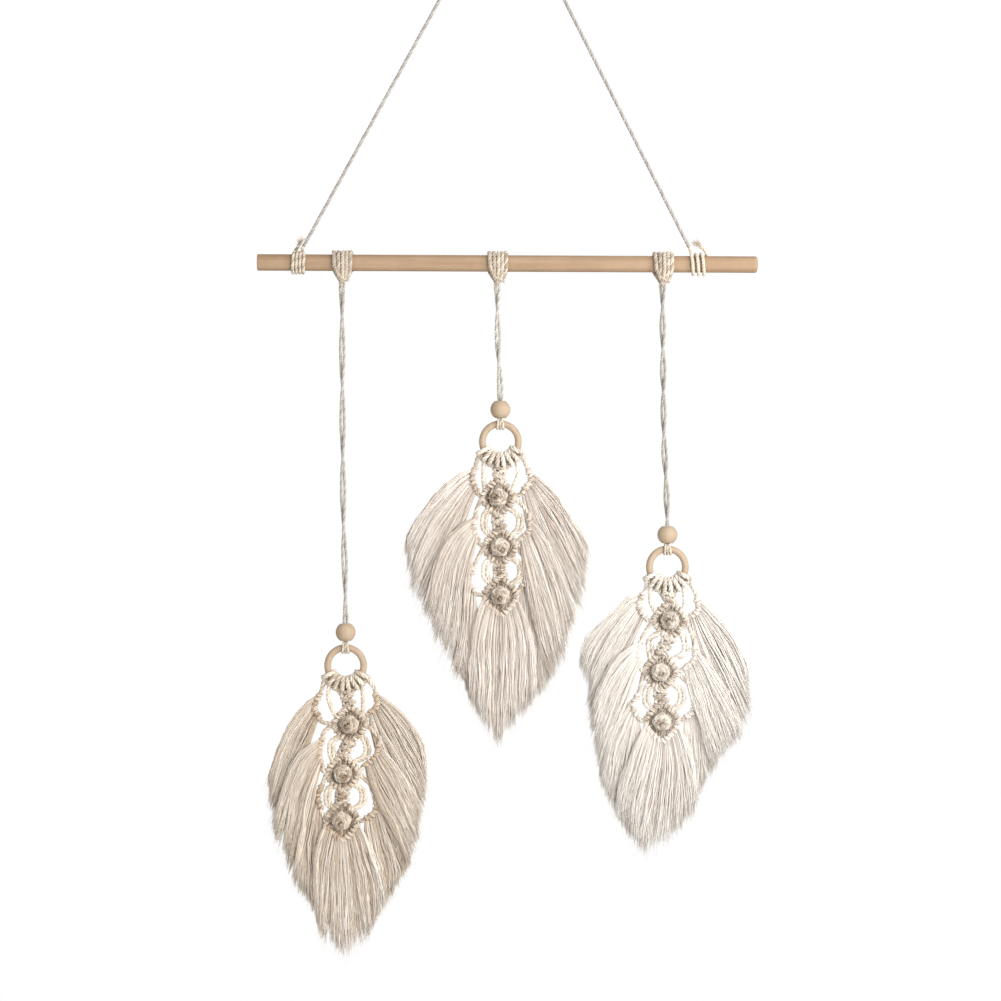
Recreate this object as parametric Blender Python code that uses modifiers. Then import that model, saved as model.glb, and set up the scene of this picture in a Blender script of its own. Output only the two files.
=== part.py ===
"""Macrame wall hanging: three fringed leaves hang from a wooden rod, and the rod hangs from one cord.

Blender 4.5, metres, +Z up, seen from -Y. The origin is where the cord's underside rests on its hook.
The sizes and tables below are in millimetres. A leaf's own points are (x, z) from the centre of its ring.
"""

import math
from collections import namedtuple

import bmesh
import bpy
from mathutils import Matrix, Vector

MM = 0.001
GAP = 0.3
WELD = 1e-6
KNOT_MERGE = math.radians(10.0)
FRINGE_MERGE = math.radians(2.0)

ROD_LENGTH = 400.0
ROD_RADIUS = 6.6
ROD_CENTRE = (2.2, -297.1)
ROD_SLOPE = 0.0045
ROD_SIDES = 20
ROD_EDGES = {"left": 0.3, "right": 1.4}

CORD_RADIUS = 1.4
HANGER_RISE = 8.3
HANGER_SLOPES = {"left": 0.5515, "right": 0.5043}
HANGER_DROPS = {"left": 291.4, "right": 292.2}
HANGER_BEND = 6.0

HITCH_RADIUS = 1.3
HITCH_STEPS = 8
ROD_KNOT_RADIUS = 1.4
ROD_KNOT_SPREAD = 4.2
ROD_KNOT_LOOPS = 4
ROD_KNOT_DROP = 15.6

PAIR_WIDE = 2.6
PAIR_THIN = 1.3
PAIR_STEPS = 4

BEAD_RADIUS = 8.0
BEAD_HEIGHT = 13.6
BEAD_BORE = 3.4
BEAD_STEPS = 12

RING_RADIUS = 14.4
RING_THICK = 2.7
RING_LOOP_RADIUS = 1.1

WRAPS = 7
WRAP_SPAN = (208.0, 332.0)
WRAP_RADIUS = 1.5
HEADING_RADIUS = 1.8

DIAMOND = (13.0, 14.0)
DIAMOND_BOW = 1.35
DIAMOND_POINTS = 20
DIAMOND_PART = 1.9
BAR_RADIUS = 2.4
RIDGE_DEPTH = 0.78
BERRY_RADIUS = 7.0
BERRY_FORWARD = 2.5
CORE_RADIUS = 2.6
STRAND_RADIUS = 1.3
STRAND_OFFSET = 1.6
ARC_RADIUS = 1.7
ARC_REACH = {"left": -13.8, "right": 15.2}

Leaf = namedtuple("Leaf", "name ring bead_rise cord_x half_twist berries tip edge")
Head = namedtuple("Head", "leaf side tier start middle end lock_ends")
Tier = namedtuple("Tier", "name locks layer leave arrive")

# Each edge row is (z, left x, right x): how far the combed fringe reaches to either side.
LEAVES = (
    Leaf(
        "left",
        ring=(-127.3, -618.8),
        bead_rise=26.7,
        cord_x=-130.2,
        half_twist=56.0,
        berries=((3.3, -47.0), (-2.3, -86.2), (-3.0, -123.5)),
        tip=(-0.5, -237.0),
        edge=(
            (-20, -21, 24),
            (-40, -40, 46),
            (-60, -50, 61),
            (-80, -58.5, 64.5),
            (-100, -63.5, 65),
            (-120, -60, 61.5),
            (-140, -56, 57.5),
            (-160, -46.5, 52.5),
            (-180, -39, 40),
            (-200, -24, 27),
            (-220, -19, 16),
        ),
    ),
    Leaf(
        "middle",
        ring=(-3.5, -439.7),
        bead_rise=25.8,
        cord_x=-6.0,
        half_twist=42.0,
        berries=((-1.8, -44.5), (-0.3, -84.2), (0.0, -122.6)),
        tip=(-2.0, -245.0),
        edge=(
            (-20, -25, 21),
            (-40, -50, 42),
            (-60, -66, 54),
            (-80, -77, 69),
            (-100, -75, 71),
            (-120, -73, 68.5),
            (-140, -61, 62),
            (-160, -51, 55),
            (-180, -41, 51),
            (-200, -27.5, 35),
            (-220, -19, 19),
        ),
    ),
    Leaf(
        "right",
        ring=(130.1, -539.9),
        bead_rise=25.8,
        cord_x=126.2,
        half_twist=34.0,
        berries=((1.9, -42.6), (-5.9, -83.8), (-4.4, -123.3)),
        tip=(-18.0, -232.0),
        edge=(
            (-20, -28, 21),
            (-40, -46, 40),
            (-60, -67, 54),
            (-80, -70, 62.5),
            (-100, -63.5, 66),
            (-120, -63, 67),
            (-140, -59, 56),
            (-160, -54, 40),
            (-180, -52, 28),
            (-200, -41, 20),
            (-220, -28, 1),
        ),
    ),
)

# A row of fringe knots, from its start to its end, and the heights where its outer and inner lock end.
HEADS = (
    Head("left", "left", "upper", (-20.5, -22.4), (-24.8, -33.0), (-20.3, -42.7), (-95, -130)),
    Head("left", "left", "middle", (-18.3, -57.2), (-21.0, -69.0), (-19.0, -81.0), (-130, -174)),
    Head("left", "left", "lower", (-18.9, -95.4), (-22.4, -104.6), (-20.0, -114.5), (-174, -203)),
    Head("left", "right", "upper", (23.4, -22.0), (25.2, -31.8), (18.5, -38.4), (-86, -122)),
    Head("left", "right", "middle", (26.4, -62.6), (24.4, -72.0), (15.6, -79.4), (-122, -160)),
    Head("left", "right", "lower", (23.6, -104.4), (23.8, -116.4), (15.4, -122.8), (-160, -198)),
    Head("middle", "left", "upper", (-20.3, -20.8), (-22.6, -29.6), (-18.6, -39.8), (-92, -137)),
    Head("middle", "left", "middle", (-20.0, -59.8), (-21.2, -69.4), (-18.0, -79.0), (-138, -188)),
    Head("middle", "left", "lower", (-21.6, -101.0), (-25.8, -111.4), (-21.2, -119.6), (-184, -214)),
    Head("middle", "right", "upper", (21.9, -22.6), (24.6, -30.2), (17.4, -40.2), (-87, -142)),
    Head("middle", "right", "middle", (22.6, -60.8), (23.4, -70.8), (15.4, -78.2), (-142, -188)),
    Head("middle", "right", "lower", (20.6, -99.0), (21.0, -109.6), (15.9, -117.4), (-188, -214)),
    Head("right", "left", "upper", (-18.4, -20.2), (-22.8, -31.0), (-17.2, -40.6), (-84, -122)),
    Head("right", "left", "middle", (-20.4, -58.8), (-23.4, -69.4), (-21.6, -79.6), (-122, -164)),
    Head("right", "left", "lower", (-23.6, -101.8), (-27.4, -112.0), (-23.2, -120.2), (-164, -206)),
    Head("right", "right", "upper", (23.3, -25.2), (24.8, -34.0), (18.0, -40.6), (-92, -134)),
    Head("right", "right", "middle", (21.7, -64.0), (21.4, -74.4), (13.4, -81.0), (-134, -160)),
    Head("right", "right", "lower", (22.8, -105.2), (20.6, -115.8), (13.8, -120.8), (-160, -197)),
)

# leave and arrive: how many degrees below the horizon a tier's outer and inner lock start and end.
TIERS = (
    Tier("upper", locks=6, layer=2.3, leave=(30.0, 76.0), arrive=(76.0, 66.0)),
    Tier("middle", locks=5, layer=-2.3, leave=(48.0, 78.0), arrive=(74.0, 76.0)),
    Tier("lower", locks=4, layer=2.3, leave=(60.0, 76.0), arrive=(80.0, 86.0)),
)
TIP_LOCKS = 8
TIP_LAYER = -2.3
LAYER_SHIFT = 0.3
BAR_LAYER = 0.45
LOCK_RADIUS = 2.0
LOCK_BACK = 0.8
LOCK_RIDGE = 1.4
LOCK_SHARES = (0.0, 0.3, 0.7, 1.0)
LOCK_SCALES = (0.4, 0.9, 1.65, 0.6)

WOOD = ("wood", (0.58, 0.41, 0.27, 1.0), 0.55)
CORD = ("cotton_cord", (0.66, 0.57, 0.46, 1.0), 0.95)
FRINGE = ("cotton_fringe", (0.70, 0.61, 0.51, 1.0), 1.0)


def clear_scene():
    for obj in list(bpy.data.objects):
        bpy.data.objects.remove(obj)


def finish_of(look):
    name, colour, roughness = look
    material = bpy.data.materials.get(name)
    if material is None:
        material = bpy.data.materials.new(name)
        material.use_nodes = True
        shader = material.node_tree.nodes["Principled BSDF"]
        shader.inputs["Base Color"].default_value = colour
        shader.inputs["Roughness"].default_value = roughness
        shader.inputs["Metallic"].default_value = 0.0
    return material


def linked(obj):
    bpy.context.scene.collection.objects.link(obj)
    return obj


def as_mesh(obj):
    """The shape that obj has with its bevel and modifiers, as a mesh whose caps are welded on and face out."""
    graph = bpy.context.evaluated_depsgraph_get()
    mesh = bpy.data.meshes.new_from_object(obj.evaluated_get(graph))
    shell = bmesh.new()
    shell.from_mesh(mesh)
    bmesh.ops.remove_doubles(shell, verts=shell.verts, dist=WELD)
    bmesh.ops.recalc_face_normals(shell, faces=shell.faces)
    shell.to_mesh(mesh)
    shell.free()
    made = linked(bpy.data.objects.new(obj.name, mesh))
    made.matrix_world = obj.matrix_world
    bpy.data.objects.remove(obj)
    return made


def part(obj, name, look):
    """Names obj as a piece of the hanging and gives it its material."""
    obj.name = name
    obj.data.name = name
    obj.data.materials.clear()
    obj.data.materials.append(finish_of(look))
    obj.data.shade_smooth()
    for home in obj.users_collection:
        home.objects.unlink(obj)
    bpy.data.collections["macrame_wall_hanging"].objects.link(obj)
    return obj


def fused(pieces, merge_angle=KNOT_MERGE):
    """One closed body of pieces that run into each other. Facets that meet at less than merge_angle become one."""
    helpers = bpy.data.collections.new("joined")
    bpy.context.scene.collection.children.link(helpers)
    body, others = pieces[0], pieces[1:]
    for other in others:
        helpers.objects.link(other)
    join = body.modifiers.new("join", "BOOLEAN")
    join.operation = "UNION"
    join.solver = "EXACT"
    join.operand_type = "COLLECTION"
    join.collection = helpers
    merge = body.modifiers.new("merge", "DECIMATE")
    merge.decimate_type = "DISSOLVE"
    merge.angle_limit = merge_angle
    made = as_mesh(body)
    for other in others:
        bpy.data.objects.remove(other)
    bpy.data.collections.remove(helpers)
    return made


def smooth(route, steps):
    """Points of a Catmull-Rom curve through the route, with that many steps to each of its spans."""
    knots = [Vector(p) for p in route]
    knots = [2 * knots[0] - knots[1], *knots, 2 * knots[-1] - knots[-2]]
    points = []
    for a, b, c, d in zip(knots, knots[1:], knots[2:], knots[3:]):
        for step in range(steps):
            t = step / steps
            points.append(
                0.5 * (2 * b + (c - a) * t + (2 * a - 5 * b + 4 * c - d) * t**2 + (3 * b - a - 3 * c + d) * t**3)
            )
    return [*points, knots[-2]]


def tube(points, radius, sides=4, closed=False, scales=None, profile=None, tilts=None):
    """A mesh tube along the points. profile is a curve object that replaces the round section."""
    curve = bpy.data.curves.new("tube", "CURVE")
    curve.dimensions = "3D"
    curve.use_fill_caps = not closed
    if profile:
        curve.bevel_mode = "OBJECT"
        curve.bevel_object = profile
    else:
        curve.bevel_depth = radius * MM
        curve.bevel_resolution = (sides - 4) // 2
    spline = curve.splines.new("POLY")
    spline.points.add(len(points) - 1)
    spline.use_cyclic_u = closed
    for i, (point, place) in enumerate(zip(spline.points, points)):
        point.co = (*(Vector(place) * MM), 1.0)
        point.radius = scales[i] if scales else 1.0
        point.tilt = tilts[i] if tilts else 0.0
    return as_mesh(linked(bpy.data.objects.new("tube", curve)))


def ridges(count):
    """The scale of each of count points: every second one stands proud, as a row of knots does."""
    return [1.0 if i % 2 else RIDGE_DEPTH for i in range(count)]


def section(points):
    """A closed outline that a tube can have instead of a round section."""
    curve = bpy.data.curves.new("section", "CURVE")
    curve.dimensions = "2D"
    curve.fill_mode = "NONE"
    spline = curve.splines.new("POLY")
    spline.points.add(len(points) - 1)
    spline.use_cyclic_u = True
    for point, (x, y) in zip(spline.points, points):
        point.co = (x * MM, y * MM, 0.0, 1.0)
    return linked(bpy.data.objects.new("section", curve))


def ball(centre, radius):
    mesh = bpy.data.meshes.new("ball")
    shell = bmesh.new()
    place = Matrix.Translation(Vector(centre) * MM)
    bmesh.ops.create_uvsphere(shell, u_segments=8, v_segments=5, radius=radius * MM, matrix=place)
    shell.to_mesh(mesh)
    shell.free()
    return linked(bpy.data.objects.new("ball", mesh))


def rod_height(x):
    return ROD_CENTRE[1] - ROD_SLOPE * (x - ROD_CENTRE[0])


def make_rod():
    """A round rod along X. Its left end is cut square and its right end is rounded off."""
    mesh = bpy.data.meshes.new("rod")
    shell = bmesh.new()
    bmesh.ops.create_cone(
        shell,
        cap_ends=True,
        segments=ROD_SIDES,
        radius1=ROD_RADIUS * MM,
        radius2=ROD_RADIUS * MM,
        depth=ROD_LENGTH * MM,
        matrix=Matrix.Rotation(math.pi / 2, 4, "Y"),
    )
    for side, width in ROD_EDGES.items():
        sign = 1 if side == "right" else -1
        rim = [e for e in shell.edges if all(v.co.x * sign > ROD_LENGTH * MM * 0.49 for v in e.verts)]
        bmesh.ops.bevel(shell, geom=rim, offset=width * MM, segments=1, affect="EDGES")
    shell.to_mesh(mesh)
    shell.free()
    rod = linked(bpy.data.objects.new("rod", mesh))
    rod.location = (ROD_CENTRE[0] * MM, 0.0, ROD_CENTRE[1] * MM)
    rod.rotation_euler = (0.0, math.atan(ROD_SLOPE), 0.0)
    part(rod, "rod", WOOD)


def hanger_route():
    """From the left hitch up over the hook and down to the right hitch: two taut stretches and a round bend."""
    left, right = (math.atan(HANGER_SLOPES[side]) for side in ("left", "right"))
    half = (left + right) / 2
    reach = HANGER_BEND / math.sin(half)
    lean = (left - right) / 2
    centre = (-reach * math.sin(lean), HANGER_RISE - reach * math.cos(lean))
    tangent = HANGER_BEND / math.tan(half) * math.cos(half)
    falls = (1.0, 0.82, 0.64, 0.46, 0.3, 0.17, 0.08)
    down_left = [HANGER_DROPS["left"] * fall for fall in falls]
    down_right = [HANGER_DROPS["right"] * fall for fall in reversed(falls)]
    route = [(-HANGER_SLOPES["left"] * fall, 0.0, HANGER_RISE - fall) for fall in down_left if fall > tangent]
    for turn in range(7):
        angle = math.pi - left - turn / 6 * (math.pi - left - right)
        route.append(
            (centre[0] + HANGER_BEND * math.cos(angle), 0.0, centre[1] + HANGER_BEND * math.sin(angle))
        )
    route += [(HANGER_SLOPES["right"] * fall, 0.0, HANGER_RISE - fall) for fall in down_right if fall > tangent]
    return route


def make_hanging_cord():
    part(tube(smooth(hanger_route(), 2), CORD_RADIUS, sides=8), "hanging_cord", CORD)


def make_hitch(side, first_x, pitch, turns, tail):
    """The hanging cord's end, wound round the rod, with a short tail that leans over the turns."""
    sign = -1 if side == "left" else 1
    slope = HANGER_SLOPES[side]
    fall = HANGER_DROPS[side]
    away = Vector((sign * slope, 0.0, -1.0)).normalized()
    start = Vector((sign * slope * fall, 0.0, HANGER_RISE - fall)) + away * GAP
    around = (ROD_RADIUS + GAP + HITCH_RADIUS) / math.cos(math.pi / HITCH_STEPS)
    points = [start, start + away * 2.4]
    for step in range(1, round(turns * HITCH_STEPS) + 1):
        angle = 2 * math.pi * step / HITCH_STEPS
        x = first_x + sign * pitch * step / HITCH_STEPS
        points.append(Vector((x, -around * math.sin(angle), rod_height(x) + around * math.cos(angle))))
    last = points[-1]
    points += [last + Vector(step) for step in tail]
    part(tube(points, HITCH_RADIUS), "hitch_" + side, CORD)


def make_rod_knot(leaf):
    """The drop cord's loops round the rod, side by side above and drawn together below."""
    x = leaf.cord_x
    z = rod_height(x)
    around = ROD_RADIUS + GAP + ROD_KNOT_RADIUS
    loops = []
    for i in range(ROD_KNOT_LOOPS):
        across = (i - (ROD_KNOT_LOOPS - 1) / 2) * ROD_KNOT_SPREAD
        points = [(x + 0.22 * across, 0.0, z - ROD_KNOT_DROP + 1.2)]
        for degrees in (-112.5, -67.5, -22.5, 22.5, 67.5, 112.5):
            angle = math.radians(degrees)
            reach = around / math.cos(math.radians(22.5))
            points.append((x + across, reach * math.sin(angle), z + reach * math.cos(angle)))
        loops.append(tube(points, ROD_KNOT_RADIUS, closed=True))
    collar = tube([(x, 0.0, z - ROD_KNOT_DROP + 3.6), (x, 0.0, z - ROD_KNOT_DROP)], PAIR_WIDE, sides=6)
    part(fused([collar, *loops]), "rod_knot_" + leaf.name, CORD)


def drop_route(leaf):
    """Down the middle of a drop cord, from below the rod to inside the bead."""
    top = rod_height(leaf.cord_x) - ROD_KNOT_DROP - 2 * GAP
    ring_x, ring_z = leaf.ring
    bead_z = ring_z + leaf.bead_rise
    low = bead_z - BEAD_HEIGHT / 2 + 1.9
    lean = ring_x - leaf.cord_x
    falls = ((0.0, 0.0), (0.35, 0.12), (0.7, 0.35), (0.9, 0.8))
    route = [(leaf.cord_x + lean * along, 0.0, top + (bead_z + 20 - top) * fall) for fall, along in falls]
    return [*route, (ring_x, 0.0, bead_z + BEAD_HEIGHT / 2), (ring_x, 0.0, low)]


def make_drop_cord(leaf, pair):
    """Two cords twisted round each other, as one tube whose two-lobed section turns."""
    line = smooth(drop_route(leaf), 12)
    length = sum((b - a).length for a, b in zip(line, line[1:]))
    count = round(length / leaf.half_twist * PAIR_STEPS)
    points = [at_share(line, i / count) for i in range(count + 1)]
    tilts = [math.pi * i / PAIR_STEPS for i in range(count + 1)]
    cord = tube(points, PAIR_WIDE, profile=pair, tilts=tilts)
    part(cord, "drop_cord_" + leaf.name, CORD)


def at_share(line, share):
    """The point at that share of a line's length."""
    lengths = [(b - a).length for a, b in zip(line, line[1:])]
    left = share * sum(lengths)
    for a, b, length in zip(line, line[1:], lengths):
        if left <= length:
            return a.lerp(b, left / length)
        left -= length
    return line[-1].copy()


def make_bead(leaf):
    """A ball with flat ends and a bore, turned from its profile."""
    half = BEAD_HEIGHT / 2
    flat = math.sqrt(BEAD_RADIUS**2 - half**2)
    profile = [(BEAD_BORE, half)]
    start = math.asin(flat / BEAD_RADIUS)
    for share in (0.0, 0.22, 0.5, 0.78, 1.0):
        angle = start + (math.pi - 2 * start) * share
        profile.append((BEAD_RADIUS * math.sin(angle), BEAD_RADIUS * math.cos(angle)))
    profile.append((BEAD_BORE, -half))
    mesh = bpy.data.meshes.new("bead")
    count = len(profile)
    mesh.from_pydata(
        [(r * MM, 0.0, z * MM) for r, z in profile], [(i, (i + 1) % count) for i in range(count)], []
    )
    bead = linked(bpy.data.objects.new("bead", mesh))
    turn = bead.modifiers.new("turn", "SCREW")
    turn.angle = 2 * math.pi
    turn.steps = BEAD_STEPS
    turn.render_steps = BEAD_STEPS
    turn.use_merge_vertices = True
    turn.merge_threshold = 1e-5
    bead = as_mesh(bead)
    bead.location = (leaf.ring[0] * MM, 0.0, (leaf.ring[1] + leaf.bead_rise) * MM)
    part(bead, "bead_" + leaf.name, WOOD)


def make_ring(leaf):
    bpy.ops.mesh.primitive_torus_add(
        major_segments=18,
        minor_segments=6,
        major_radius=RING_RADIUS * MM,
        minor_radius=RING_THICK * MM,
        location=(leaf.ring[0] * MM, 0.0, leaf.ring[1] * MM),
        rotation=(math.pi / 2, 0.0, 0.0),
    )
    ring = bpy.context.active_object
    part(ring, "ring_" + leaf.name, WOOD)


def make_ring_loop(leaf):
    """The drop cord's two turns round the top of the ring, and their neck inside the bead."""
    ring_x, ring_z = leaf.ring
    top = ring_z + RING_RADIUS
    reach = (RING_THICK + 0.35 + RING_LOOP_RADIUS) / math.cos(math.pi / 8)
    low = ring_z + RING_RADIUS + RING_THICK + 0.5
    high = ring_z + leaf.bead_rise - BEAD_HEIGHT / 2 + 1.6
    pieces = [tube([(ring_x, 0.0, low), (ring_x, 0.0, high)], 1.9, sides=6)]
    for side in (-1, 1):
        points = []
        for step in range(8):
            angle = math.pi / 4 * (step + 0.5)
            across = side * (1.15 - 0.4 * math.cos(angle))
            points.append((ring_x + across, reach * math.sin(angle), top + reach * math.cos(angle)))
        pieces.append(tube(points, RING_LOOP_RADIUS, closed=True))
    part(fused(pieces), "ring_loop_" + leaf.name, CORD)


def placed(leaf, points, y=0.0):
    """A leaf's own (x, z) points, or its (x, y, z) points, in the hanging's frame."""
    return [Vector((leaf.ring[0] + p[0], p[1] if len(p) == 3 else y, leaf.ring[1] + p[-1])) for p in points]


def diamond_point(berry, degrees):
    """A point of the rounded diamond round a berry, at degrees from its right corner by way of its top."""
    angle = math.radians(degrees)
    across, up = math.cos(angle), math.sin(angle)
    return (
        berry[0] + math.copysign(DIAMOND[0] * abs(across) ** DIAMOND_BOW, across),
        berry[1] + math.copysign(DIAMOND[1] * abs(up) ** DIAMOND_BOW, up),
    )


def ring_wraps(leaf):
    """Cords looped side by side over the lower half of the ring, and the row of knots under them."""
    start, end = WRAP_SPAN
    reach = (RING_THICK + GAP + WRAP_RADIUS) / math.cos(math.pi / 6)
    pieces = []
    for i in range(WRAPS):
        angle = math.radians(start + (end - start) * i / (WRAPS - 1))
        out = Vector((math.cos(angle), 0.0, math.sin(angle)))
        centre = Vector((leaf.ring[0], 0.0, leaf.ring[1])) + out * RING_RADIUS
        points = []
        for step in range(6):
            around = math.pi / 3 * step
            points.append(centre + out * reach * math.cos(around) + Vector((0, reach * math.sin(around), 0)))
        pieces.append(tube(points, WRAP_RADIUS, closed=True))
    radius = RING_RADIUS + reach
    arc = []
    for i in range(WRAPS):
        angle = math.radians(start + (end - start) * i / (WRAPS - 1))
        arc.append((radius * math.cos(angle), radius * math.sin(angle)))
    pieces.append(tube(placed(leaf, arc), HEADING_RADIUS))
    return pieces


def column(leaf, top, bottom, radius, rows):
    """A short upright row of square knots between two (x, z) points."""
    count = 2 * rows + 1
    points = [
        (top[0] + (bottom[0] - top[0]) * i / (count - 1), top[1] + (bottom[1] - top[1]) * i / (count - 1))
        for i in range(count)
    ]
    return tube(placed(leaf, points, y=-0.6), radius, sides=6, scales=ridges(count))


def head_of(leaf, side, tier):
    return next(h for h in HEADS if (h.leaf, h.side, h.tier) == (leaf.name, side, tier))


def side_cords(leaf, side):
    """The cords that lead to each row of fringe knots and from it back to the spine."""
    sign = -1 if side == "left" else 1
    cords = []
    for number, tier in enumerate(TIERS):
        head = head_of(leaf, side, tier.name)
        start, middle, end = (Vector(p) for p in (head.start, head.middle, head.end))
        into = (middle - start).normalized()
        out = (end - middle).normalized()
        corner = Vector(diamond_point(leaf.berries[number], 0 if side == "right" else 180))
        if number == 0:
            source = Vector((sign * 16.6, -9.4))
        else:
            source = Vector(diamond_point(leaf.berries[number - 1], 0 if side == "right" else 180))
        join = start - into * 4.4
        near = start - into * 0.7
        aside = -math.copysign(STRAND_OFFSET, TIERS[number - 1].layer) if number else 0.0
        level = tier.layer * BAR_LAYER
        lead = [(source.x, aside * 0.5, source.y), (join.x, aside, join.y), (near.x, level, near.y)]
        cords.append(tube(placed(leaf, lead), STRAND_RADIUS))
        below, turn = end + out * 0.5, end + out * 2.6
        back = [(below.x, level, below.y), (turn.x, level, turn.y), (corner.x - sign * 0.6, 0.0, corner.y)]
        cords.append(tube(placed(leaf, back), STRAND_RADIUS))
    return cords


def side_arcs(leaf, side):
    """The plain cords that bow out beside each square knot."""
    sign = -1 if side == "left" else 1
    arcs = []
    for above, below in zip(leaf.berries, leaf.berries[1:]):
        bow_x = (above[0] + below[0]) / 2 + ARC_REACH[side]
        middle_z = (above[1] + below[1]) / 2
        route = [
            (above[0] + sign * 7.5, above[1] - 8.5),
            (bow_x, middle_z + 5.0),
            (bow_x, middle_z - 5.0),
            (below[0] + sign * 7.5, below[1] + 8.5),
        ]
        arcs.append(tube(placed(leaf, route), ARC_RADIUS))
    return arcs


def make_spine(leaf):
    """The knotted middle of a leaf: ring wraps, diamonds of ridged bars round berries, square knots, side cords."""
    first = leaf.berries[0]
    heading_z = -RING_RADIUS - RING_THICK - 2.0
    pieces = ring_wraps(leaf)
    pieces.append(column(leaf, (0.4, heading_z), (first[0], first[1] + DIAMOND[1]), 4.2, 3))
    core = [(0.4, heading_z), *leaf.berries]
    pieces.append(tube(placed(leaf, core, y=0.5), CORE_RADIUS))
    for sign in (-1, 1):
        route = [(sign * 13.0, -14.0), (sign * 13.8, -27.0), (first[0] + sign * 10.6, first[1] + 5.0)]
        pieces.append(tube(placed(leaf, route), STRAND_RADIUS))
    for number, berry in enumerate(leaf.berries):
        last = number == len(leaf.berries) - 1
        count = DIAMOND_POINTS // 2 + 1 if last else DIAMOND_POINTS
        bar = [diamond_point(berry, 360 * i / DIAMOND_POINTS) for i in range(count)]
        pieces.append(tube(placed(leaf, bar), BAR_RADIUS, closed=not last, scales=ridges(count)))
        pieces.append(ball(placed(leaf, [berry], y=-BERRY_FORWARD)[0], BERRY_RADIUS))
    for above, below in zip(leaf.berries, leaf.berries[1:]):
        knot = column(leaf, (above[0], above[1] - DIAMOND[1]), (below[0], below[1] + DIAMOND[1]), 4.3, 2)
        pieces.append(knot)
    for side in ("left", "right"):
        pieces += side_cords(leaf, side) + side_arcs(leaf, side)
    part(fused(pieces), "spine_" + leaf.name, CORD)


def edge_x(leaf, z, side):
    """How far the fringe reaches to that side at a height."""
    column_of = 1 if side == "left" else 2
    rows = [(row[0], row[column_of]) for row in leaf.edge] + [(leaf.tip[1], leaf.tip[0])]
    for (high, x_high), (low, x_low) in zip(rows, rows[1:]):
        if z >= low:
            return x_high + (x_low - x_high) * (high - z) / (high - low)
    return leaf.tip[0]


def make_lock(leaf, root, end, leave, arrive, side, layer, shape):
    """One combed lock: it leaves its knot at one slope and hangs at another where it ends."""
    sign = -1 if side == "left" else 1
    pull = 0.36 * (Vector(end) - Vector(root)).length
    first = Vector((sign * math.cos(math.radians(leave)), -math.sin(math.radians(leave)))) * pull
    last = Vector((sign * math.cos(math.radians(arrive)), -math.sin(math.radians(arrive)))) * pull
    a, d = Vector(root), Vector(end)
    b, c = a + first, d - last
    points = []
    for t in LOCK_SHARES:
        u = 1 - t
        p = a * u**3 + 3 * b * u * u * t + 3 * c * u * t * t + d * t**3
        points.append((p.x, p.y))
    turned = math.pi if sign * layer > 0 else 0.0
    tilts = [turned] * len(points)
    return tube(placed(leaf, points, y=layer), LOCK_RADIUS, profile=shape, scales=LOCK_SCALES, tilts=tilts)


def make_side_fringe(leaf, head, tier, shape):
    """A row of knots on a curved cord, with the locks of fringe that hang from it."""
    route = [(x, z, 0.0) for x, z in (head.start, head.middle, head.end)]
    bar = [(p.x, p.y) for p in smooth(route, 3)]
    pieces = [tube(placed(leaf, bar, y=tier.layer * BAR_LAYER), BAR_RADIUS, scales=ridges(len(bar)))]
    line = [Vector((x, 0.0, z)) for x, z in bar]
    for i in range(tier.locks):
        share = i / (tier.locks - 1)
        root = at_share(line, 0.14 + 0.7 * share)
        z = head.lock_ends[0] + (head.lock_ends[1] - head.lock_ends[0]) * share
        leave = tier.leave[0] + (tier.leave[1] - tier.leave[0]) * share
        arrive = tier.arrive[0] + (tier.arrive[1] - tier.arrive[0]) * share
        layer = tier.layer + (LAYER_SHIFT if i % 2 else -LAYER_SHIFT)
        end = (edge_x(leaf, z, head.side), z)
        pieces.append(make_lock(leaf, (root.x, root.z), end, leave, arrive, head.side, layer, shape))
    part(fused(pieces, FRINGE_MERGE), f"fringe_{leaf.name}_{head.side}_{tier.name}", FRINGE)


def make_tip_fringe(leaf, shape):
    """The lower half of the last diamond, with the locks that hang from its V."""
    count = DIAMOND_POINTS // 2 + 1
    bar = [diamond_point(leaf.berries[-1], 180 + 360 * i / DIAMOND_POINTS) for i in range(count)]
    bar = [(x, z - DIAMOND_PART) for x, z in bar]
    pieces = [tube(placed(leaf, bar, y=TIP_LAYER * BAR_LAYER), BAR_RADIUS, scales=ridges(count))]
    line = [Vector((x, 0.0, z)) for x, z in bar]
    for i in range(TIP_LOCKS):
        share = i / (TIP_LOCKS - 1)
        root = at_share(line, 0.07 + 0.86 * share)
        side = "left" if share < 0.5 else "right"
        outer = head_of(leaf, side, "lower").lock_ends[1]
        z = leaf.tip[1] + (outer - leaf.tip[1]) * abs(2 * share - 1)
        layer = TIP_LAYER + (LAYER_SHIFT if i % 2 else -LAYER_SHIFT)
        end = (edge_x(leaf, z, side), z)
        pieces.append(make_lock(leaf, (root.x, root.z), end, 84.0, 86.0, side, layer, shape))
    part(fused(pieces, FRINGE_MERGE), f"fringe_{leaf.name}_tip", FRINGE)


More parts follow.
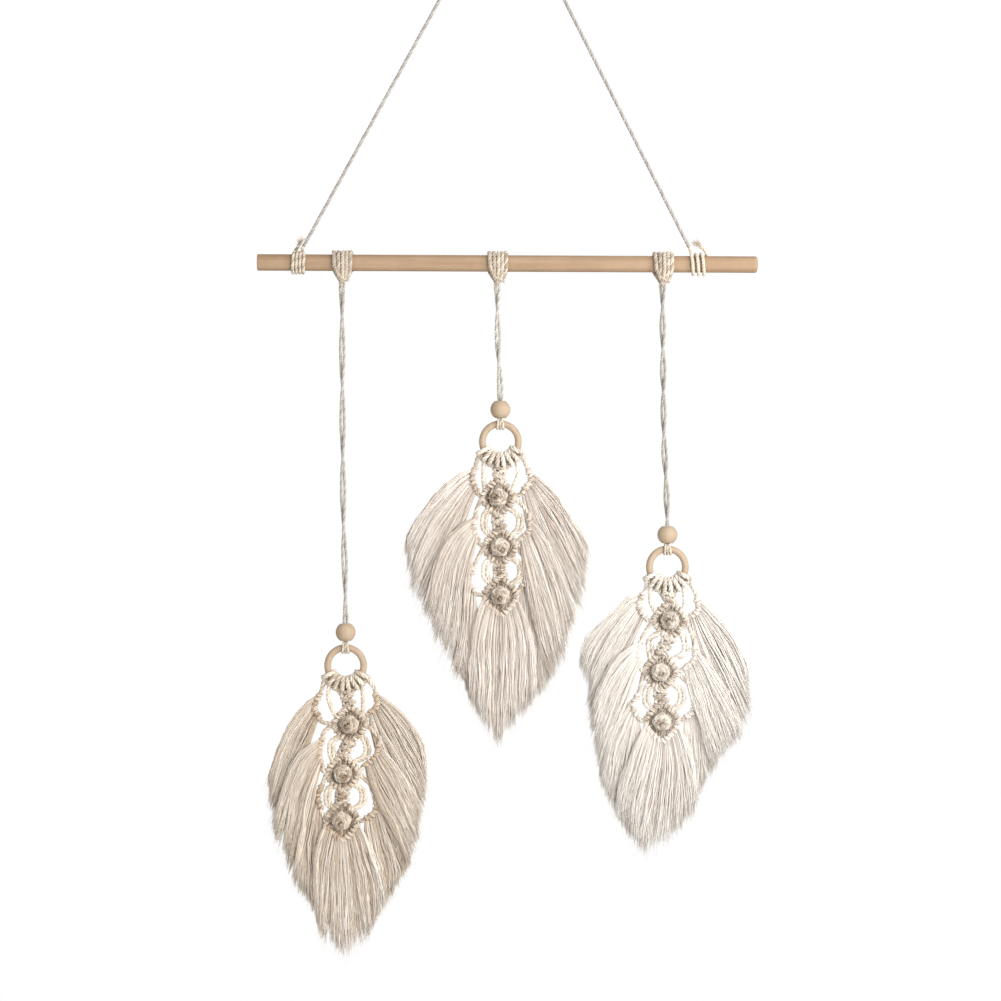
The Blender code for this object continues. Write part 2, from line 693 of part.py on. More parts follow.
def main():
    clear_scene()
    bpy.context.scene.collection.children.link(bpy.data.collections.new("macrame_wall_hanging"))
    make_rod()
    make_hanging_cord()
    left_tail = ((0.2, 0.6, 5.2), (2.2, -3.0, 9.8), (4.4, -6.4, 12.6), (5.4, -7.6, 14.2))
    make_hitch("left", -159.7, 2.8, 3.75, left_tail)
    make_hitch("right", 148.6, 4.3, 3.0, ((-1.8, 0.6, 3.6), (-5.0, 0.8, 6.2)))
    pair = section(
        [
            (radius * math.cos(angle), radius * math.sin(angle))
            for angle in (math.pi / 4 * i for i in range(8))
            for radius in [(PAIR_WIDE + PAIR_THIN) / 2 + (PAIR_WIDE - PAIR_THIN) / 2 * math.cos(2 * angle)]
        ]
    )
    lock = section([(-LOCK_BACK, -LOCK_RADIUS), (-LOCK_BACK, LOCK_RADIUS), (LOCK_RIDGE, 0.0)])
    for leaf in LEAVES:
        make_rod_knot(leaf)
        make_drop_cord(leaf, pair)
        make_bead(leaf)
        make_ring(leaf)
        make_ring_loop(leaf)
        make_spine(leaf)
        for tier in TIERS:
            for side in ("left", "right"):
                make_side_fringe(leaf, head_of(leaf, side, tier.name), tier, lock)
        make_tip_fringe(leaf, lock)
    for guide in (pair, lock):
        bpy.data.objects.remove(guide)


main()
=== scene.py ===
"""Looks of the macrame wall hanging: twisted cotton cords, knots, combed fringe and turned wood.

The tables repeat the model's own sizes. They are in millimetres, and a leaf's points are (x, z) from the
centre of its ring. Every mesh is made in the hanging's frame, so it lies where its solid lies.
"""

import math
from collections import namedtuple

import bpy
import numpy as np
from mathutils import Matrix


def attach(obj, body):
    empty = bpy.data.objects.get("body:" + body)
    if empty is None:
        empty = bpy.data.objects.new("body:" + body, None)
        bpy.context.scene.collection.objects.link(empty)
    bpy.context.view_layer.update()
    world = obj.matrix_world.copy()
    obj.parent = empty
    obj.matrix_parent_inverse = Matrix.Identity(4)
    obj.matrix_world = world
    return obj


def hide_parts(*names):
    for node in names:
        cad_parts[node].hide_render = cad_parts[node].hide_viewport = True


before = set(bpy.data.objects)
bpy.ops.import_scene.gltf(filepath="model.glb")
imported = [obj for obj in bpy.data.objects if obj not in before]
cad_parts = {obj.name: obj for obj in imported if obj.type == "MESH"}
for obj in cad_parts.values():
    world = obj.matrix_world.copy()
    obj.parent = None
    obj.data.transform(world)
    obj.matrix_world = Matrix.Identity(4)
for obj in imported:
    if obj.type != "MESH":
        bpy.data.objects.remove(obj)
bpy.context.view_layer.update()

MM = 0.001
RNG = np.random.default_rng(11)
SIGNS = {"left": -1, "right": 1}

FRAME_CENTRE = (-3.4, -486.7)
CAMERA_DISTANCE = 1891.0
LENS = 85.0
SENSOR = 36.0

ROD_LENGTH = 400.0
ROD_RADIUS = 6.6
ROD_CENTRE = (2.2, -297.1)
ROD_SLOPE = 0.0045
ROD_STRETCHES = 24
# The rod's ends, as (radius, distance from the end): the right one is rounded, the left one cut square.
RIGHT_END = ((0.05, 0.0), (2.5, 0.0), (4.6, 0.15), (5.6, 0.5), (6.25, 1.1), (6.6, 2.0), (6.6, 3.0))
LEFT_END = ((6.6, 2.0), (6.6, 0.4), (6.48, 0.1), (6.2, 0.0), (0.05, 0.0))

# How far apart the points of a smooth line are, from the long routes to the smallest loops.
ROUTE_STEP = 6.0
BAR_STEP = 2.0
PLAIN_STEP = 1.5
LINE_STEP = 1.2
CORE_STEP = 1.0
CORD_STEP = 0.9
TURN_STEP = 0.85
WRAP_STEP = 0.8
SMALL_STEP = 0.6
HEAD_STEP = 0.5

GAP = 0.3
PLY_OFFSET = 0.5
PLY_RADIUS = 0.56
CORD_RADIUS = 1.4
HANGER_RISE = 8.3
HANGER_SLOPES = {"left": 0.5515, "right": 0.5043}
HANGER_DROPS = {"left": 291.4, "right": 292.2}
HANGER_FALLS = (1.0, 0.82, 0.64, 0.46, 0.3, 0.17, 0.08)
HANGER_BEND = 6.0
BEND_POINTS = 7

HITCH_RADIUS = 1.35
HITCH_STEPS = 8
HITCH_LEAD = 2.4
PAIR_OFFSET = 1.45
PAIR_RADIUS = 1.2
# Shares of a drop cord's fall, and of its lean to the bead, down to DROP_PLUMB above the bead's middle.
DROP_SHARES = ((0.0, 0.0), (0.35, 0.12), (0.7, 0.35), (0.9, 0.8))
DROP_PLUMB = 20.0

BEAD_RADIUS = 8.0
BEAD_HEIGHT = 13.6
BEAD_BORE = 3.4
BEAD_EDGE = 0.3
CORD_IN_BEAD = 1.9
NECK_IN_BEAD = 1.4
RING_RADIUS = 14.4
RING_THICK = 2.7
RING_LOOP_RADIUS = 1.1

ROD_KNOT_DROP = 15.6
ROD_KNOT_RADIUS = 1.75
ROD_KNOT_REACH = ROD_RADIUS + GAP + 1.5
ROD_KNOT_DEGREES = (108, 90, 60, 30, 0, -35, -70, -105, -130)
# The bight that holds a rod knot's strands together, from where the drop cord meets the rod.
BIGHT = ((-3.6, -3.4, -9.6), (-0.2, -5.0, -11.4), (3.2, -3.8, -13.2), (3.6, -0.2, -13.6), (0.4, 1.8, -12.8))
BIGHT_RADIUS = 1.5

WRAPS = 8
WRAP_SPAN = (208.0, 332.0)
WRAP_RADIUS = 1.95
WRAP_REACH = RING_THICK + GAP + 1.6
DIAMOND = (13.0, 14.0)
DIAMOND_BOW = 1.5
BAR_CORE = 1.8
BAR_REACH = 1.4
BAR_RADIUS = 1.85
BAR_PITCH = 3.9
BAR_LAYER = 0.45
FILLERS = 11
FILLER_SPAN = 11.5
FILLER_RADIUS = 1.6
# How far a side arc bows out from between two berries, and where its feet and its straight middle lie.
ARC_REACH = {"left": -13.0, "right": 14.4}
ARC_FOOT = (7.5, 8.5)
ARC_HALF = 5.0
ARC_NEST = 3.1
PLAIN_RADIUS = 1.75
# The cords to a row of fringe knots leave the ring at RING_EXIT. How far before and past the row's start they
# bend in, and before and past its end the returning ones bend out.
LEAD_RADIUS = 1.85
RING_EXIT = (16.6, -9.4)
LEAD_BEFORE, LEAD_PAST = 4.4, 1.0
BACK_BEFORE, BACK_PAST = 0.8, 2.6
CORNER_INSET = 0.6

SQUARE_HEIGHT = 3.0
SQUARE_CORE = 1.6
SQUARE_RADIUS = 1.85
SQUARE_LEVEL = -0.6
SQUARE_DEPTH = 2.6
SQUARE_SLANT = 1.5
SQUARE_SHADE = 0.42

BERRY_RADIUS = 5.7
BERRY_FORWARD = 2.5
BERRY_LEANS = ((-0.45, -1.0, 0.1), (0.2, -1.0, -0.3), (-0.3, -1.0, -0.35))
SWIRL_RADIUS = 1.9
SWIRL_TURNS = 1.75
SWIRL_SPAN = (16, 120)
CROSSING_RADIUS = 1.5
CROSSING_SPAN = (34, 86)
CROSSING_STARTS = (0.4, 1.4, 2.5, 3.6, 4.9, 5.8)

Hitch = namedtuple("Hitch", "side first_x pitch turns tail")
Leaf = namedtuple("Leaf", "name ring bead_rise cord_x half_twist berries tip edges")
Head = namedtuple("Head", "start middle end strand_ends")
Tier = namedtuple(
    "Tier", "name locks wisps layer leave arrive span tuck left_leave left_last", defaults=(None, None)
)
KnotStrand = namedtuple("KnotStrand", "top front gather gather_z")
Light = namedtuple("Light", "name place size power")

# tail: steps from the last turn's end along the frayed tail.
LEFT_TAIL = ((0.2, 0.6, 5.2), (2.2, -3.0, 9.8), (4.4, -6.4, 12.6), (5.4, -7.6, 14.2))
RIGHT_TAIL = ((-1.8, 0.6, 3.6), (-5.0, 0.8, 6.2))
HITCHES = (
    Hitch("left", first_x=-159.7, pitch=2.8, turns=3.75, tail=LEFT_TAIL),
    Hitch("right", first_x=148.6, pitch=4.3, turns=3.0, tail=RIGHT_TAIL),
)

# A strand of a rod knot: its x on top of the rod and in front of it, and where it gathers below the rod.
KNOT_STRANDS = (
    KnotStrand(-6.3, -5.6, -2.8, -9.6),
    KnotStrand(-2.6, -2.3, -2.2, -9.0),
    KnotStrand(1.3, 1.1, 0.8, -10.8),
    KnotStrand(4.3, 4.2, 3.2, -11.2),
    KnotStrand(7.2, 7.1, 5.4, -10.6),
)

# edges: how far the fringe reaches to the left and to the right, at EDGE_HEIGHTS.
EDGE_HEIGHTS = range(-20, -221, -20)
LEAVES = (
    Leaf(
        "left",
        ring=(-127.3, -618.8),
        bead_rise=26.7,
        cord_x=-130.2,
        half_twist=56.0,
        berries=((3.3, -47.0), (-2.3, -86.2), (-3.0, -123.5)),
        tip=(-0.5, -237.0),
        edges={
            "left": (-21, -40, -50, -58.5, -63.5, -60, -56, -46.5, -39, -24, -19),
            "right": (24, 46, 61, 64.5, 65, 61.5, 57.5, 52.5, 40, 27, 16),
        },
    ),
    Leaf(
        "middle",
        ring=(-3.5, -439.7),
        bead_rise=25.8,
        cord_x=-6.0,
        half_twist=42.0,
        berries=((-1.8, -44.5), (-0.3, -84.2), (0.0, -122.6)),
        tip=(-2.0, -245.0),
        edges={
            "left": (-25, -50, -66, -77, -75, -73, -61, -51, -41, -27.5, -19),
            "right": (21, 42, 54, 69, 71, 68.5, 62, 55, 51, 35, 19),
        },
    ),
    Leaf(
        "right",
        ring=(130.1, -539.9),
        bead_rise=25.8,
        cord_x=126.2,
        half_twist=34.0,
        berries=((1.9, -42.6), (-5.9, -83.8), (-4.4, -123.3)),
        tip=(-18.0, -232.0),
        edges={
            "left": (-28, -46, -67, -70, -63.5, -63, -59, -54, -52, -41, -28),
            "right": (21, 40, 54, 62.5, 66, 67, 56, 40, 28, 20, 1),
        },
    ),
)

# The three rows of fringe knots on each side of a leaf, from the top: a row's start, middle and end, and the
# heights where its outer and inner strands end.
HEADS = {
    ("left", "left"): (
        Head((-20.5, -22.4), (-24.8, -33.0), (-20.3, -42.7), (-95, -130)),
        Head((-18.3, -57.2), (-21.0, -69.0), (-19.0, -81.0), (-130, -174)),
        Head((-18.9, -95.4), (-22.4, -104.6), (-20.0, -114.5), (-174, -203)),
    ),
    ("left", "right"): (
        Head((23.4, -22.0), (25.2, -31.8), (18.5, -38.4), (-86, -122)),
        Head((26.4, -62.6), (24.4, -72.0), (15.6, -79.4), (-122, -160)),
        Head((23.6, -104.4), (23.8, -116.4), (15.4, -122.8), (-160, -198)),
    ),
    ("middle", "left"): (
        Head((-20.3, -20.8), (-22.6, -29.6), (-18.6, -39.8), (-92, -137)),
        Head((-20.0, -59.8), (-21.2, -69.4), (-18.0, -79.0), (-138, -188)),
        Head((-21.6, -101.0), (-25.8, -111.4), (-21.2, -119.6), (-184, -214)),
    ),
    ("middle", "right"): (
        Head((21.9, -22.6), (24.6, -30.2), (17.4, -40.2), (-87, -142)),
        Head((22.6, -60.8), (23.4, -70.8), (15.4, -78.2), (-142, -188)),
        Head((20.6, -99.0), (21.0, -109.6), (15.9, -117.4), (-188, -214)),
    ),
    ("right", "left"): (
        Head((-18.4, -20.2), (-22.8, -31.0), (-17.2, -40.6), (-84, -122)),
        Head((-20.4, -58.8), (-23.4, -69.4), (-21.6, -79.6), (-122, -164)),
        Head((-23.6, -101.8), (-27.4, -112.0), (-23.2, -120.2), (-164, -206)),
    ),
    ("right", "right"): (
        Head((23.3, -25.2), (24.8, -34.0), (18.0, -40.6), (-92, -134)),
        Head((21.7, -64.0), (21.4, -74.4), (13.4, -81.0), (-134, -160)),
        Head((22.8, -105.2), (20.6, -115.8), (13.8, -120.8), (-160, -197)),
    ),
}

# leave and arrive: how many degrees below the horizon a tier's outer and inner strands start and end.
# span: the stretch of shares with strands; past 1 they pass behind the next tier.
# tuck: how much darker the outer and inner strands are painted, as shade where another tier lies over them.
# left_leave and left_last: leave and the last share on the left side, whose rows stand further apart.
TIERS = (
    Tier("upper", 7, 86, 2.3, (30, 76), (76, 66), (0.0, 1.25), (0.0, 0.28), (30, 65), 1.06),
    Tier("middle", 6, 86, -2.3, (48, 78), (74, 76), (-0.04, 1.15), (0.0, 0.1), (22, 70), 1.06),
    Tier("lower", 5, 80, 2.3, (60, 84), (80, 92), (0.0, 1.35), (0.2, 0.1), (38, 84), 1.35),
)
TIP = Tier("tip", 8, 116, -2.3, (64, 90), (86, 90), (-0.12, 1.12), (0.0, 0.0))
OUTLINE_SHARE = 0.3
TIP_PART = 1.9
HEAD_SHADE = 0.4
# The share of a row of knots where the first strand has its root, and how far along it the roots go on.
SIDE_ROOTS = (0.05, 0.83)
TIP_ROOTS = (0.05, 0.9)

STRANDS = 7
STRAND_POINTS = 8
STRAND_RADIUS = 0.36
STRAND_LAYER = 0.75
STRAND_PULL = 0.36
HAIR_SIDES = 3
SIDE_FLYAWAYS = 45
TIP_FLYAWAYS = 60
FLYAWAY_RADIUS = 0.11
# Along a strand: its thickness, a wisp's half width, how lift and the partings of the locks grow.
TAPER = ((0.0, 0.15, 0.75, 1.0), (0.8, 1.0, 0.9, 0.2))
WISP_SPREAD = ((0.0, 0.3, 0.75, 1.0), (0.4, 0.9, 1.3, 0.9))
WISP_LIFT = ((0.0, 0.3, 1.0), (0.5, 1.0, 0.8))
LOCK_PINCH = ((0.0, 0.35, 0.8, 1.0), (0.0, 0.05, 0.05, 0.12))

# Linear colours from deep to bright. The fringe's are for its partings, its deep and its bright strands.
# The partings' tone is painted shade, in the partings and on strands that lie under another tier.
# Each leaf's fringe is lighter, with less contrast, towards the right leaf: partly the cotton's own tone and
# partly painted light, as the light falls from the right.
FRINGE_TONES = {
    "left": ((0.26, 0.17, 0.10), (0.50, 0.39, 0.285), (0.82, 0.75, 0.665)),
    "middle": ((0.29, 0.205, 0.145), (0.56, 0.465, 0.385), (0.84, 0.78, 0.715)),
    "right": ((0.42, 0.335, 0.265), (0.69, 0.62, 0.555), (0.81, 0.775, 0.725)),
}
MIDDLE_TONE = 0.3
# Each leaf's knots are likewise lighter towards the right: partly their own tone and partly painted light.
KNOT_TONES = {
    "left": ((0.21, 0.13, 0.07), (0.82, 0.735, 0.615)),
    "middle": ((0.22, 0.145, 0.085), (0.83, 0.76, 0.66)),
    "right": ((0.25, 0.18, 0.12), (0.84, 0.785, 0.705)),
}
HITCH_TONES = ((0.18, 0.13, 0.085), (0.80, 0.70, 0.57))
LINE_TONES = ((0.12, 0.11, 0.095), (0.70, 0.66, 0.59))
ROD_TONES = ((0.23, 0.137, 0.076), (0.415, 0.29, 0.19))
BEAD_TONES = ((0.33, 0.24, 0.155), (0.47, 0.365, 0.265))

# Places and sizes in metres, and powers in watts.
LIGHTS = (
    Light("key", (0.9, -1.4, -0.1), 1.2, 32.0),
    Light("side", (1.1, -0.6, -0.25), 0.25, 6.0),
    Light("fill", (-1.1, -1.5, -0.3), 1.3, 6.0),
    Light("back", (0.4, 1.6, 0.1), 1.3, 7.0),
)
LIGHT_AIM = (0.0, 0.0, -0.52)
ROOM_TONE = (1.0, 0.99, 0.97, 1.0)
ROOM_STRENGTH = 0.56
FLOOR_HALF = 1.6
FLOOR_HEIGHT = -1.3
FLOOR_TONE = (0.86, 0.85, 0.83, 1.0)


# ---- Mesh making ----


def frames(line):
    """Two unit normals along a line of points, which turn as little as they can."""
    tangents = np.gradient(line, axis=0)
    tangents /= np.linalg.norm(tangents, axis=1)[:, None]
    normals = np.empty_like(line)
    side = np.cross(tangents[0], (0.0, 1.0, 0.0))
    if np.linalg.norm(side) < 0.1:
        side = np.cross(tangents[0], (1.0, 0.0, 0.0))
    normals[0] = side / np.linalg.norm(side)
    for i in range(1, len(line)):
        side = normals[i - 1] - tangents[i] * (normals[i - 1] @ tangents[i])
        normals[i] = side / np.linalg.norm(side)
    return normals, np.cross(tangents, normals)


def away_from(line_frames, angles):
    """Unit vectors away from a line with those frames, at each point's angle round it."""
    normals, binormals = line_frames
    return np.cos(angles)[:, None] * normals + np.sin(angles)[:, None] * binormals


def run_of(line):
    """The distance along a line of points, from its start."""
    return np.r_[0.0, np.cumsum(np.linalg.norm(np.diff(line, axis=0), axis=1))]


def curve(points, step):
    """Points a step apart along a smooth curve through the given ones."""
    knots = np.array(points, float)
    knots = np.vstack([2 * knots[0] - knots[1], knots, 2 * knots[-1] - knots[-2]])
    t = np.linspace(0.0, 1.0, 12, endpoint=False)[:, None]
    spans = [
        0.5 * (2 * b + (c - a) * t + (2 * a - 5 * b + 4 * c - d) * t**2 + (3 * b - a - 3 * c + d) * t**3)
        for a, b, c, d in zip(knots, knots[1:], knots[2:], knots[3:])
    ]
    line = np.vstack([*spans, knots[-2]])
    run = run_of(line)
    at = np.linspace(0.0, run[-1], max(3, round(run[-1] / step) + 1))
    return np.column_stack([np.interp(at, run, line[:, axis]) for axis in range(3)])


class Pile:
    """Gathers tubes into one mesh. shade is kept at each point, 0 for deep and 1 for bright cotton, and
    holds both the cotton's own tone and painted shade.
    """

    def __init__(self):
        self.points = []
        self.faces = []
        self.shades = []
        self.count = 0

    def add(self, points, faces, shade=0.5):
        points = points.reshape(-1, 3)
        self.points.append(points)
        self.faces += [face + self.count for face in faces]
        self.shades.append(np.broadcast_to(np.asarray(shade, float), (len(points),)))
        self.count += len(points)

    def tubes(self, centres, normals, binormals, radii, sides, shade):
        """Closed tubes round centre lines. centres is (tube, point, 3), and radii is (tube, point)."""
        angles = 2 * math.pi * np.arange(sides)[:, None] / sides
        across = np.cos(angles) * normals[:, :, None] + np.sin(angles) * binormals[:, :, None]
        points = centres[:, :, None] + radii[:, :, None, None] * across
        index = np.arange(points.size // 3).reshape(points.shape[:3])
        low, high = index[:, :-1], index[:, 1:]
        around = np.stack([low, np.roll(low, -1, 2), np.roll(high, -1, 2), high], -1).reshape(-1, 4)
        shade = np.asarray(shade, float)
        if shade.ndim:
            shade = np.repeat(np.broadcast_to(shade, radii.shape).reshape(-1), sides)
        self.add(points, [around, index[:, 0, ::-1], index[:, -1]], shade)

    def tube(self, line, radius, sides=8, shade=0.5):
        normals, binormals = frames(line)
        radii = np.broadcast_to(np.asarray(radius, float), (len(line),))
        self.tubes(line[None], normals[None], binormals[None], radii[None], sides, shade)

    def cord(self, line, radius, plies=3, pitch=5.6, sides=4, shade=0.5):
        """A twisted cord: its plies lie round each other along the line. pitch is in radii."""
        line_frames = frames(line)
        turn = 2 * math.pi * run_of(line) / (pitch * radius) + RNG.uniform(0, 6)
        for ply in range(plies):
            out = away_from(line_frames, turn + 2 * math.pi * ply / plies)
            centre = line + PLY_OFFSET * radius * out
            self.tube(centre, PLY_RADIUS * radius, sides, shade + RNG.uniform(-0.12, 0.12))

    def winding(self, line, reach, radius, pitch, shade=0.5, clusters=0.0):
        """A cord wound round a line in close turns, as a row of half hitches is."""
        fine = curve(line, pitch / 10)
        run = run_of(fine)
        swell = reach * (1 - clusters * (0.5 + 0.5 * np.cos(math.pi * run / pitch)))
        out = away_from(frames(fine), 2 * math.pi * run / pitch)
        self.cord(fine + swell[:, None] * out, radius, shade=shade)

    def hairs(self, paths, radius, shade):
        """Fine tapered strands. paths is (strand, point, 3), and none runs along Y."""
        tangents = np.gradient(paths, axis=1)
        tangents /= np.linalg.norm(tangents, axis=2)[:, :, None]
        normals = np.cross(tangents, (0.0, 1.0, 0.0))
        normals /= np.linalg.norm(normals, axis=2)[:, :, None]
        taper = np.interp(np.linspace(0, 1, paths.shape[1]), *TAPER)
        radii = np.broadcast_to(np.asarray(radius, float).reshape(-1, 1), paths.shape[:2]) * taper
        self.tubes(paths, normals, np.cross(tangents, normals), radii, HAIR_SIDES, shade)

    def make(self, name, look):
        mesh = bpy.data.meshes.new(name)
        points = np.vstack(self.points) * MM
        sizes = np.concatenate([np.full(len(face), face.shape[1]) for face in self.faces])
        corners = np.concatenate([face.reshape(-1) for face in self.faces])
        mesh.vertices.add(len(points))
        mesh.vertices.foreach_set("co", points.reshape(-1))
        mesh.loops.add(len(corners))
        mesh.loops.foreach_set("vertex_index", corners)
        mesh.polygons.add(len(sizes))
        mesh.polygons.foreach_set("loop_start", np.r_[0, np.cumsum(sizes)[:-1]])
        mesh.update(calc_edges=True)
        mesh.shade_smooth()
        shade = mesh.attributes.new("shade", "FLOAT", "POINT")
        shade.data.foreach_set("value", np.concatenate(self.shades))
        mesh.materials.append(look)
        return added(name, mesh)


def added(name, data):
    """A new object in the scene."""
    obj = bpy.data.objects.new(name, data)
    bpy.context.scene.collection.objects.link(obj)
    return obj


def placed(pile, node, look):
    """Makes a pile's mesh and sets it in the frame in place of its solid."""
    obj = pile.make("look_" + node, look)
    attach(obj, "root")
    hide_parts(node)
    return obj


# ---- Materials ----


class Look:
    """A Principled material, with short calls for its nodes."""

    def __init__(self, name, roughness, sheen=0.0):
        self.material = bpy.data.materials.new(name)
        self.material.use_nodes = True
        self.tree = self.material.node_tree
        self.shader = self.tree.nodes["Principled BSDF"]
        self.shader.inputs["Roughness"].default_value = roughness
        self.shader.inputs["Sheen Weight"].default_value = sheen
        self.shader.inputs["Sheen Roughness"].default_value = 0.6
        self.shader.inputs["Specular IOR Level"].default_value = 0.25

    def feed(self, socket, value):
        """Links another socket to this one, or sets its value."""
        if isinstance(value, bpy.types.NodeSocket):
            self.tree.links.new(value, socket)
        else:
            socket.default_value = value

    def node(self, kind, **inputs):
        node = self.tree.nodes.new(kind)
        for key, value in inputs.items():
            self.feed(node.inputs[key], value)
        return node

    def maths(self, operation, *values):
        node = self.node("ShaderNodeMath")
        node.operation = operation
        for socket, value in zip(node.inputs, values):
            self.feed(socket, value)
        return node.outputs[0]

    def sum(self, value, factor, other):
        """value + factor * (other - 0.5)"""
        return self.maths("MULTIPLY_ADD", other, factor, self.maths("SUBTRACT", value, factor / 2))

    def noise(self, scale, stretch=(1, 1, 1), detail=3.0):
        """Noise over the object's frame, in metres, times a stretch for each axis."""
        place = self.node("ShaderNodeTexCoord").outputs["Object"]
        place = self.node("ShaderNodeMapping", Vector=place, Scale=stretch).outputs["Vector"]
        return self.node("ShaderNodeTexNoise", Vector=place, Scale=scale, Detail=detail).outputs["Fac"]

    def colour(self, value, tones):
        """Base colour from two tones, or from three with the middle one at MIDDLE_TONE."""
        ramp = self.node("ShaderNodeValToRGB", Fac=value)
        if len(tones) == 3:
            ramp.color_ramp.elements.new(MIDDLE_TONE)
        for stop, tone in zip(ramp.color_ramp.elements, tones):
            stop.color = (*tone, 1.0)
        self.feed(self.shader.inputs["Base Color"], ramp.outputs["Color"])

    def bump(self, height, distance):
        bump = self.node("ShaderNodeBump", Height=height, Strength=1.0, Distance=distance)
        self.feed(self.shader.inputs["Normal"], bump.outputs["Normal"])


def cotton(name, tones):
    """Matt cotton: each strand has its own tone, with broad and fine noise over it. The shade attribute
    also brings in the painted shade of knot gaps, partings and strands under other tiers.
    """
    look = Look(name, roughness=0.95, sheen=0.25)
    attribute = look.node("ShaderNodeAttribute")
    attribute.attribute_name = "shade"
    island = look.node("ShaderNodeNewGeometry").outputs["Random Per Island"]
    value = look.sum(attribute.outputs["Fac"], 0.45, island)
    for scale in (90.0, 900.0):
        value = look.sum(value, 0.3, look.noise(scale))
    look.colour(value, tones)
    look.bump(look.noise(scale=2500.0), distance=0.0002)
    return look.material


def wood(name, tones, stretch, scale):
    """Pale plain wood with a fine straight grain."""
    look = Look(name, roughness=0.55)
    grain = look.noise(scale, stretch, detail=6.0)
    value = look.sum(grain, 0.5, look.noise(scale * 0.2, stretch, detail=2.0))
    value = look.sum(value, 0.35, look.noise(scale=60.0))
    look.colour(value, tones)
    look.bump(grain, distance=0.00015)
    return look.material


# ---- Cords ----


def rod_height(x):
    return ROD_CENTRE[1] - ROD_SLOPE * (x - ROD_CENTRE[0])


def hanger_route():
    """From the left hitch over the hook to the right hitch: two taut stretches and a round bend."""
    left, right = (math.atan(HANGER_SLOPES[side]) for side in SIGNS)
    half = (left + right) / 2
    reach = HANGER_BEND / math.sin(half)
    lean = (left - right) / 2
    centre_x, centre_z = -reach * math.sin(lean), HANGER_RISE - reach * math.cos(lean)
    tangent = HANGER_BEND / math.tan(half) * math.cos(half)

    def stretch(side):
        """The points of one straight stretch, from its hitch up to the bend."""
        falls = [HANGER_DROPS[side] * fall for fall in HANGER_FALLS]
        slope = SIGNS[side] * HANGER_SLOPES[side]
        return [(slope * fall, 0.0, HANGER_RISE - fall) for fall in falls if fall > tangent]

    bend = []
    for angle in np.linspace(math.pi - left, right, BEND_POINTS):
        across, up = HANGER_BEND * math.cos(angle), HANGER_BEND * math.sin(angle)
        bend.append((centre_x + across, 0.0, centre_z + up))
    return [*stretch("left"), *bend, *reversed(stretch("right"))]


def drop_route(leaf):
    """Down the middle of a drop cord, from below the rod to inside the bead."""
    top = rod_height(leaf.cord_x) - ROD_KNOT_DROP - 2 * GAP
    ring_x, ring_z = leaf.ring
    bead_z = ring_z + leaf.bead_rise
    height = bead_z + DROP_PLUMB - top
    lean = ring_x - leaf.cord_x
    route = [(leaf.cord_x + lean * along, 0.0, top + height * fall) for fall, along in DROP_SHARES]
    low = bead_z - BEAD_HEIGHT / 2 + CORD_IN_BEAD
    return [*route, (ring_x, 0.0, bead_z + BEAD_HEIGHT / 2), (ring_x, 0.0, low)]


def make_hanging_cord(look):
    pile = Pile()
    pile.cord(curve(hanger_route(), LINE_STEP), CORD_RADIUS, pitch=6.4, sides=5, shade=0.3)
    cord = placed(pile, "hanging_cord", look)
    curve(hanger_route(), ROUTE_STEP)


def make_drop_cord(leaf, look):
    """Two cords twisted loosely round each other."""
    line = curve(drop_route(leaf), LINE_STEP)
    aside = PAIR_OFFSET * away_from(frames(line), math.pi * run_of(line) / leaf.half_twist)
    pile = Pile()
    for sign in (-1, 1):
        pile.cord(line + sign * aside, PAIR_RADIUS, pitch=6.0, sides=5, shade=0.5)
    cord = placed(pile, "drop_cord_" + leaf.name, look)


def tuft(pile, root, way, length, spread, count):
    """A frayed end: fine hairs that spread as they leave the root. way isn't along Y."""
    way = np.array(way) / np.linalg.norm(way)
    t = np.linspace(0, 1, 5)[None, :, None]
    start = np.array(root) + RNG.normal(0, 0.45, (count, 1, 3))
    aside = RNG.normal(0, spread, (count, 1, 3)) * (1, 0.7, 1)
    curl = RNG.normal(0, spread * 0.5, (count, 1, 3))
    reach = length * RNG.uniform(0.55, 1.05, (count, 1, 1))
    paths = start + way * reach * t + aside * t**1.5 + curl * np.sin(math.pi * t) * t
    radius = RNG.uniform(0.1, 0.22, count)
    pile.hairs(paths, radius, shade=0.6 + RNG.uniform(-0.2, 0.3, (count, 1)))


def make_hitch(hitch, look):
    """The hanging cord's end wound round the rod, and the frayed tail that stands up behind it."""
    sign = SIGNS[hitch.side]
    slope, fall = HANGER_SLOPES[hitch.side], HANGER_DROPS[hitch.side]
    away = np.array((sign * slope, 0.0, -1.0)) / math.hypot(slope, 1.0)
    start = np.array((sign * slope * fall, 0.0, HANGER_RISE - fall)) + away * GAP
    around = ROD_RADIUS + GAP + HITCH_RADIUS
    points = [start, start + away * HITCH_LEAD]
    for step in range(1, round(hitch.turns * HITCH_STEPS) + 1):
        angle = 2 * math.pi * step / HITCH_STEPS
        x = hitch.first_x + sign * hitch.pitch * step / HITCH_STEPS
        points.append(np.array((x, -around * math.sin(angle), rod_height(x) + around * math.cos(angle))))
    last = points[-1]
    points += [last + np.array(step) for step in hitch.tail]
    pile = Pile()
    pile.cord(curve(points, CORD_STEP), HITCH_RADIUS, sides=5, shade=0.62)
    tuft(pile, points[-1], points[-1] - points[-2], length=7.0, spread=2.2, count=60)
    placed(pile, "hitch_" + hitch.side, look)


